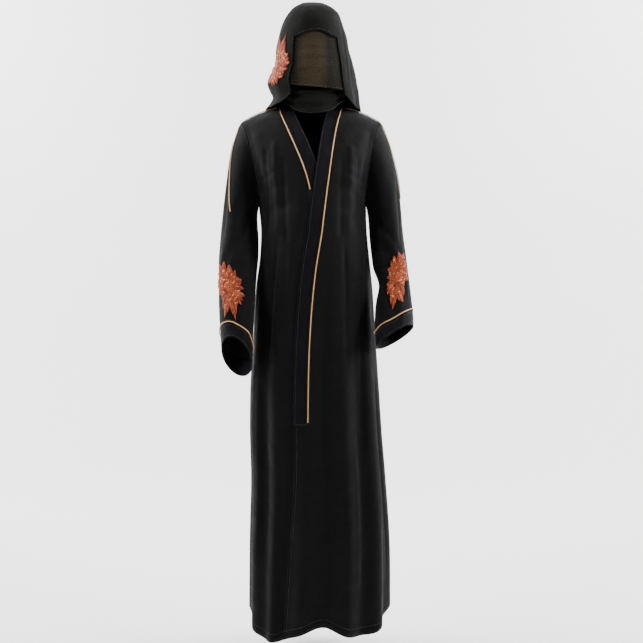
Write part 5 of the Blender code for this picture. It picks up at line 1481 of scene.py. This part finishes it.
def outward_wall(name, outer, inner, cells, finish):
    """A wall whose cells are turned over if they face into the panel."""
    a, b, c, d = (outer[cells[:, corner]] for corner in range(4))
    facing = np.einsum("ij,ij->", np.cross(c - a, d - b), (outer - inner)[cells[:, 0]])
    return wall(name, outer, inner, cells if facing > 0 else cells[:, ::-1], finish)


def ground(name, place, wide, tall):
    """The solid's own outline, filled by rings towards its heart."""
    turn = np.linspace(0, 360, GROUND_SIDES, endpoint=False)
    reach = lobed(turn)[None]
    steps = np.linspace(*GROUND_REACH, GROUND_RINGS)[:, None]
    across, along_it = round_heart(wide * steps, tall * steps, reach, turn)
    rough = GROUND_THICKNESS + GRAIN_HEIGHT * np.cos(np.radians(turn * GRAINS_ROUND)) * steps
    outer = place.at(across, along_it, GROUND_LIFT + rough)[0]
    inner = place.at(across, along_it, GROUND_LIFT + 0 * rough)[0]
    cells = np.concatenate([Panel(outer, closed=True).cells(), pole_cells(*outer.shape[:2])])
    outer = np.concatenate([outer.reshape(-1, 3), [outer[-1].mean(axis=0)]])
    inner = np.concatenate([inner.reshape(-1, 3), [inner[-1].mean(axis=0)]])
    return outward_wall(name, outer, inner, cells, LACE)


print("reach of a tail and of a lobe:", lobed(np.array([72.0, 270.0])))

# %% [markdown]
# Beads, sequins and stitches
#
# Small shapes come in hundreds, so each has only a few dozen faces and all copies of one kind
# make one mesh. A bead is a barrel, a sequin a dished plate, and a stitch a spindle.

# %% Small shapes in numbers
def round_shape(sides, heights):
    """Rings of unit radius at these (height, radius) pairs between two poles; faces point outward."""
    turn = np.linspace(0, 2 * math.pi, sides, endpoint=False)
    rings = [np.stack([radius * np.cos(turn), radius * np.sin(turn), np.full(sides, height)], axis=1)
             for height, radius in heights[1:-1]]
    points = np.concatenate([[[0, 0, heights[0][0]]], *rings, [[0, 0, heights[-1][0]]]])
    nearer = np.roll(np.arange(sides), -1)
    faces = [[0, 1 + nearer[k], 1 + k] for k in range(sides)]
    for ring in range(len(rings) - 1):
        low, high = 1 + ring * sides, 1 + (ring + 1) * sides
        faces += [[low + k, low + nearer[k], high + nearer[k], high + k] for k in range(sides)]
    top = 1 + (len(rings) - 1) * sides
    faces += [[top + k, top + nearer[k], len(points) - 1] for k in range(sides)]
    return points, faces


BEAD_SHAPE = round_shape(6, ((-1, 0), (-0.5, 0.86), (0.5, 0.86), (1, 0)))
SEQUIN_SHAPE = round_shape(8, ((0, 0), (0, 1), (0.16, 1), (0.06, 0)))
STITCH_SHAPE = round_shape(4, ((-1, 0), (0, 1), (1, 0)))


def scattered(name, shape, places, out, heading, size, finish):
    """Copies of a small shape: its x runs along the heading, its z along out, each times its size."""
    points, faces = shape
    x = unit(heading - (heading * out).sum(axis=-1, keepdims=True) * out)
    y = np.cross(out, x)
    size = np.broadcast_to(size, (len(places), 3))
    local = points[None] * size[:, None]
    across, along_it, raised = (local[..., axis : axis + 1] for axis in range(3))
    spots = places[:, None] + across * x[:, None] + along_it * y[:, None] + raised * out[:, None]
    count = len(points)
    every_face = [[corner + index * count for corner in face]
                  for index in range(len(places)) for face in faces]
    return piece(name, spots.reshape(-1, 3), every_face, finish)


print("corners of a bead, a sequin and a stitch:",
      [len(points) for points, faces in (BEAD_SHAPE, SEQUIN_SHAPE, STITCH_SHAPE)])

# %% [markdown]
# The three sprays
#
# Each spray gets its ground, its leaves and its flower, then beads along every leaf's rib and
# round the heart, and sequins strewn over the whole of it. The beads' sizes and the sequins'
# places are drawn from a seeded source, so that they are the same each time.

# %% Sprays
BEAD_STEP, BEAD_SIZES, BEAD_LIFT = 0.0042, (0.0009, 0.0013), 0.0003
BEADED_SHARES, HEART_BEADS, HEART_BEAD_HEIGHT, HEART_RING = (0.12, 0.9), 12, 0.0048, 0.22
SEQUINS, SEQUIN_SIZES, SEQUIN_HEIGHTS, SEQUIN_TILT = 150, (0.0014, 0.0020), (0.0021, 0.0036), 0.16
SEQUIN_SPREAD = (0.02, 0.92)
PETAL_REACH, PETAL_START, PETAL_WIDTH, PETAL_BEND = 0.23, 0.12, 0.62, 0.08


def leaves_of(wide, tall):
    """Start, tip, width and bend of each leaf, from its angle and its shares of the spray's half sizes."""
    leaves = []
    for leaf in LEAVES:
        turn = math.radians(leaf["angle"])
        to = np.array([wide * math.cos(turn), tall * math.sin(turn)])
        leaves.append((to * leaf["start"], to * leaf["reach"], leaf["width"] * tall, leaf["bend"]))
    return leaves


def petals_of(size):
    """The same for petals at even angles round the heart."""
    petals = []
    for angle in np.linspace(0, 2 * math.pi, PETALS, endpoint=False):
        to = np.array([math.cos(angle), math.sin(angle)]) * size
        petals.append((to * PETAL_START, to, size * PETAL_WIDTH, PETAL_BEND))
    return petals


def bead_places(leaves, size):
    """Even steps along each leaf's bowed rib, as high as the rib there, and a ring round the heart."""
    flat, raised = [], []
    for start, to, width, bend in leaves:
        count = max(4, round(np.linalg.norm(to - start) / BEAD_STEP))
        share = np.linspace(*BEADED_SHARES, count)[:, None]
        square = np.array([-(to - start)[1], (to - start)[0]])
        flat.append(start + (to - start) * share + square * bend * np.sin(math.pi * share))
        rib = (LEAF_PAD - RIB_DEPTH) * np.sqrt(np.sin(math.pi * share[:, 0]))
        raised.append(LEAF_LIFT + LEAF_EDGE + rib + BEAD_LIFT)
    turn = np.linspace(0, 2 * math.pi, HEART_BEADS, endpoint=False)
    flat.append(np.stack([np.cos(turn), np.sin(turn)], axis=1) * size * HEART_RING)
    raised.append(np.full(HEART_BEADS, HEART_BEAD_HEIGHT))
    return np.concatenate(flat), np.concatenate(raised)


ornaments = {}
for row in SPRAYS:
    name, panel = row["name"], hood if row["side"] == 0 else sleeves[row["side"]][0]
    place = Cloth(panel, row["row"] * FINE, row["column"] * FINE)
    wide, tall = row["columns"] * FINE * place.column_step, row["rows"] * FINE * place.row_step
    ornaments[name] = [ground("spray_ground_" + name, place, wide, tall)]
    leaves, size = leaves_of(wide, tall), PETAL_REACH * tall
    ornaments[name].append(padded_leaves("spray_leaves_" + name, place, leaves, LEAF))
    bloom = Cloth(panel, row["row"] * FINE, row["column"] * FINE)
    bloom.grid = bloom.grid + unit(bloom.outward) * LEAF_EDGE * 2
    ornaments[name].append(padded_leaves("spray_petals_" + name, bloom, petals_of(size), PETAL))

    draw = np.random.default_rng(row["seed"])
    flat, raised = bead_places(leaves, size)
    points, out = place.at(flat[:, 0], flat[:, 1], raised)
    sizes = draw.uniform(*BEAD_SIZES, (len(points), 1))
    ornaments[name].append(scattered("spray_beads_" + name, BEAD_SHAPE, points, out, out[:, [1, 2, 0]],
                                     sizes * [1, 1, 1], BEAD))
    angle, reach = draw.uniform(0, 360, SEQUINS), np.sqrt(draw.uniform(*SEQUIN_SPREAD, SEQUINS))
    across, along_it = round_heart(wide, tall, reach * lobed(angle), angle)
    points, out = place.at(across, along_it, draw.uniform(*SEQUIN_HEIGHTS, SEQUINS))
    tilted = unit(out + draw.normal(0, SEQUIN_TILT, out.shape))
    sizes = draw.uniform(*SEQUIN_SIZES, (SEQUINS, 1))
    ornaments[name].append(scattered("spray_sequins_" + name, SEQUIN_SHAPE, points, tilted, out[:, [1, 2, 0]],
                                     sizes * [1, 1, 1], SEQUIN))
    print(name, "spray: %.0f x %.0f mm, %d beads" % (2000 * wide, 2000 * tall, len(raised)))

# %% [markdown]
# Stitches
#
# Hems are turned up by about 22 mm and held by a row of stitches. Bands, cuffs and seams have a
# row close to each edge. Each stitch is a small spindle that lies along its row.

# %% Stitches
STITCH_STEP, STITCH_SIZE, STITCH_LIFT, STITCH_SAMPLES = 0.0042, (0.0015, 0.00032, 0.00032), 0.00012, 600


def sew(name, panel, slot, *rows):
    """Spindles at even steps along lines of the panel, each given by its rows and columns."""
    places, out, heading = [], [], []
    last_row, last_column = panel.grid.shape[0] - 1, panel.grid.shape[1] - 1
    for first, last in rows:
        first, last = (np.array([r % (last_row + 1) if r < 0 else r, c % (last_column + 1) if c < 0 else c])
                       for r, c in (first, last))
        share = np.linspace(0, 1, STITCH_SAMPLES)[:, None]
        spots = first * (1 - share) + last * share
        line = on_grid(panel.grid, spots[:, 0], spots[:, 1])
        length = np.concatenate([[0], np.cumsum(np.linalg.norm(np.diff(line, axis=0), axis=1))])
        wanted = np.interp(np.arange(STITCH_STEP, length[-1], STITCH_STEP), length, share[:, 0])[:, None]
        spots = first * (1 - wanted) + last * wanted
        line = on_grid(panel.grid, spots[:, 0], spots[:, 1])
        square = unit(on_grid(panel.outward, spots[:, 0], spots[:, 1]))
        places.append(line + square * STITCH_LIFT)
        out.append(square)
        heading.append(unit(np.gradient(line, axis=0)))
    scattered("stitches_" + name, STITCH_SHAPE, np.concatenate(places), np.concatenate(out),
                           np.concatenate(heading), STITCH_SIZE, STITCH)


low, top_row, armpit_row = 1.8, -1.6, -ARMHOLE_ROWS - 2
sew("back", back, "robe_cloth",
    ((low, 0.5), (low, -1.5)), ((low, 0.9), (armpit_row, 0.9)), ((low, -1.9), (armpit_row, -1.9)),
    ((top_row, 1), (top_row, SHOULDER_COLUMNS)), ((top_row, -SHOULDER_COLUMNS - 1), (top_row, -2)))
for side, name in SIDES:
    sew("front_" + name, fronts[side][0], "robe_cloth",
        ((low, 0.5), (low, -1.5)), ((low, 2.6), (HEM_ROWS - 0.5, 2.6)), ((low, -1.9), (armpit_row, -1.9)),
        ((top_row, BAND_COLUMNS + 1), (top_row, -2)),
        ((HEM_ROWS, BAND_COLUMNS + 0.9), (top_row, BAND_COLUMNS + 0.9)))
    sew("band_" + name, bands[side], "band_cloth",
        ((0.4, 0.9), (-1.4, 0.9)), ((0.4, BAND_COLUMNS - 1.0), (-1.4, BAND_COLUMNS - 1.0)),
        ((0.4, 1.0), (0.4, BAND_COLUMNS - 1.0)))
    for key, store, slot in (("sleeve_", uppers, "robe_cloth"), ("cuff_", cuffs, "band_cloth")):
        ring = Panel(all_round(store[side].grid))
        ring.outward = all_round(store[side].outward)
        sew(key + name, ring, slot, ((0.9, 0), (0.9, -1)), ((-1.9, 0), (-1.9, -1)))
sew("scarf_hood", hood, "scarf_cloth",
    ((0.7, 0.5), (0.7, HOOD_COLUMNS - 0.5)), ((1, 0.7), (HOOD_ROWS, 0.7)),
    ((1, HOOD_COLUMNS - 0.7), (HOOD_ROWS, HOOD_COLUMNS - 0.7)),
    ((HOOD_ROWS + 1.2, HOOD_COLUMNS), (HOOD_ROWS + 1.2, HOOD_COLUMNS + FACE_COLUMNS - 2)))
sew("scarf_neck_wrap", wrap, "scarf_cloth", ((1.2, 2), (1.2, -3)))
for name, panel in veils.items():
    sew(name, panel, "veil_cloth", ((1.4, 1), (1.4, -2)), ((-2.4, 1), (-2.4, -2)))

# %% [markdown]
# The cut
#
# Every piece of cloth was cut flat before it was sewn and worn. This table notes the width and
# length of each flat piece as far as it shows, and its area where the cut isn't a rectangle.

# %% Flat pieces
CUT = table(
    "name width length area held",
    ("back", 0.60, 1.46, 0.690, "hung"), ("front_left", 0.42, 1.50, 0.392, "hung"),
    ("front_right", 0.34, 1.50, 0.306, "hung"), ("sleeve_left", 0.57, 0.54, 0.165, "hung"),
    ("sleeve_right", 0.57, 0.61, 0.191, "hung"), ("cuff_left", 0.411, 0.045, 0.0178, "hung"),
    ("cuff_right", 0.388, 0.047, 0.0162, "hung"), ("band_left", 0.037, 1.06, None, "hung"),
    ("band_right", 0.037, 1.07, None, "hung"), ("scarf_hood", 0.86, 0.52, 0.226, "draped"),
    ("scarf_neck_wrap", 0.33, 0.070, 0.0180, "draped"), ("veil_band", 0.148, 0.030, None, "hung"),
    ("veil_lower", 0.183, 0.092, 0.0152, "hung"), ("veil_outer", 0.187, 0.168, 0.0276, "hung"),
)
for cut in CUT:
    name = cut["name"]
print("pieces cut:", len(CUT))

# %% [markdown]
# The studio
#
# The set stands free over a pale sweep: a floor that curves up into a backdrop, with no line
# between them. Three soft lights with narrow beams graze the cloth from the right, the left and
# above, so that its folds show. A pale world keeps the shadows open, and two wide lights are for
# the backdrop alone.

# %% Floor and lights
FLOOR_HEIGHT, FLOOR_FRONT, BACKDROP_PLACE, SWEEP_RADIUS = -1.53, -4.2, 2.6, 1.2
SWEEP_HALF_WIDTH, BACKDROP_HEIGHT, WORLD_STRENGTH, WHITE = 6.0, 4.5, 0.32, (1.0, 1.0, 1.0, 1.0)
LIGHTS = table(
    "name place towards size power beam",
    ("key", (2.5, -1.3, 0.9), (0.16, 0.0, -0.10), 0.8, 13, 50),
    ("fill", (-2.4, -1.4, 1.0), (-0.12, 0.0, -0.10), 1.0, 10, 55),
    ("top", (-0.4, 0.5, 2.2), (0.0, 0.0, 0.0), 1.2, 7, 80),
    ("backdrop_left", (-2.6, 0.6, 1.2), (0.4, 2.6, -0.2), 1.6, 230, 180),
    ("backdrop_right", (2.6, 0.6, 1.2), (-0.4, 2.6, -0.2), 1.6, 230, 180),
)


def sweep():
    """A floor line, a quarter circle and an upright line, drawn out sideways."""
    turn = np.linspace(0, math.pi / 2, 25)
    curve_start = BACKDROP_PLACE - SWEEP_RADIUS
    y = np.concatenate([[FLOOR_FRONT], curve_start + SWEEP_RADIUS * np.sin(turn), [BACKDROP_PLACE]])
    z = np.concatenate([[0], SWEEP_RADIUS - SWEEP_RADIUS * np.cos(turn), [BACKDROP_HEIGHT]]) + FLOOR_HEIGHT
    x = np.array([-SWEEP_HALF_WIDTH, SWEEP_HALF_WIDTH])
    grid = np.stack([np.broadcast_to(x, (len(y), 2)), *(np.repeat(line[:, None], 2, 1) for line in (y, z))],
                    axis=-1)
    mesh = bpy.data.meshes.new("pale_sweep")
    mesh.from_pydata(grid.reshape(-1, 3).tolist(), [], Panel(grid).cells().tolist())
    mesh.shade_smooth()
    finish = Finish("pale_paper", Roughness=0.9, Specular_IOR_Level=0.1, Emission_Strength=0.52)
    finish.shader.inputs["Emission Color"].default_value = WHITE
    cloudy = finish.noise(finish.place(), 3.0)
    finish.feed("Base Color", finish.between(cloudy, (0.86, 0.86, 0.86), (0.90, 0.90, 0.90)))
    mesh.materials.append(finish.material)
    return placed("pale_sweep", mesh)


def soft_light(name, place, towards, size, power, beam):
    """A square area light that looks from one place towards another, with its beam in degrees."""
    data = bpy.data.lights.new(name, "AREA")
    data.size, data.energy, data.spread = size, power, math.radians(beam)
    light = placed(name, data)
    light.location = place
    light.rotation_euler = (Vector(towards) - Vector(place)).to_track_quat("-Z", "Y").to_euler()


sweep()
for light in LIGHTS:
    soft_light(**light)
world = bpy.data.worlds.new("pale_world")
world.use_nodes = True
sky = world.node_tree.nodes["Background"].inputs
sky["Color"].default_value, sky["Strength"].default_value = WHITE, WORLD_STRENGTH
bpy.context.scene.world = world
print("lights:", [light["name"] for light in LIGHTS])

# %% [markdown]
# What stands for what
#
# Each fine piece now stands for its plain solid, which is no longer shown.

# %% Pieces for solids
stand_for = {**made, **cords, **{"applique_" + name: pieces[0] for name, pieces in ornaments.items()}}
for node, shown in stand_for.items():
    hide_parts(node)
print("solids that have a finer piece:", len(stand_for))
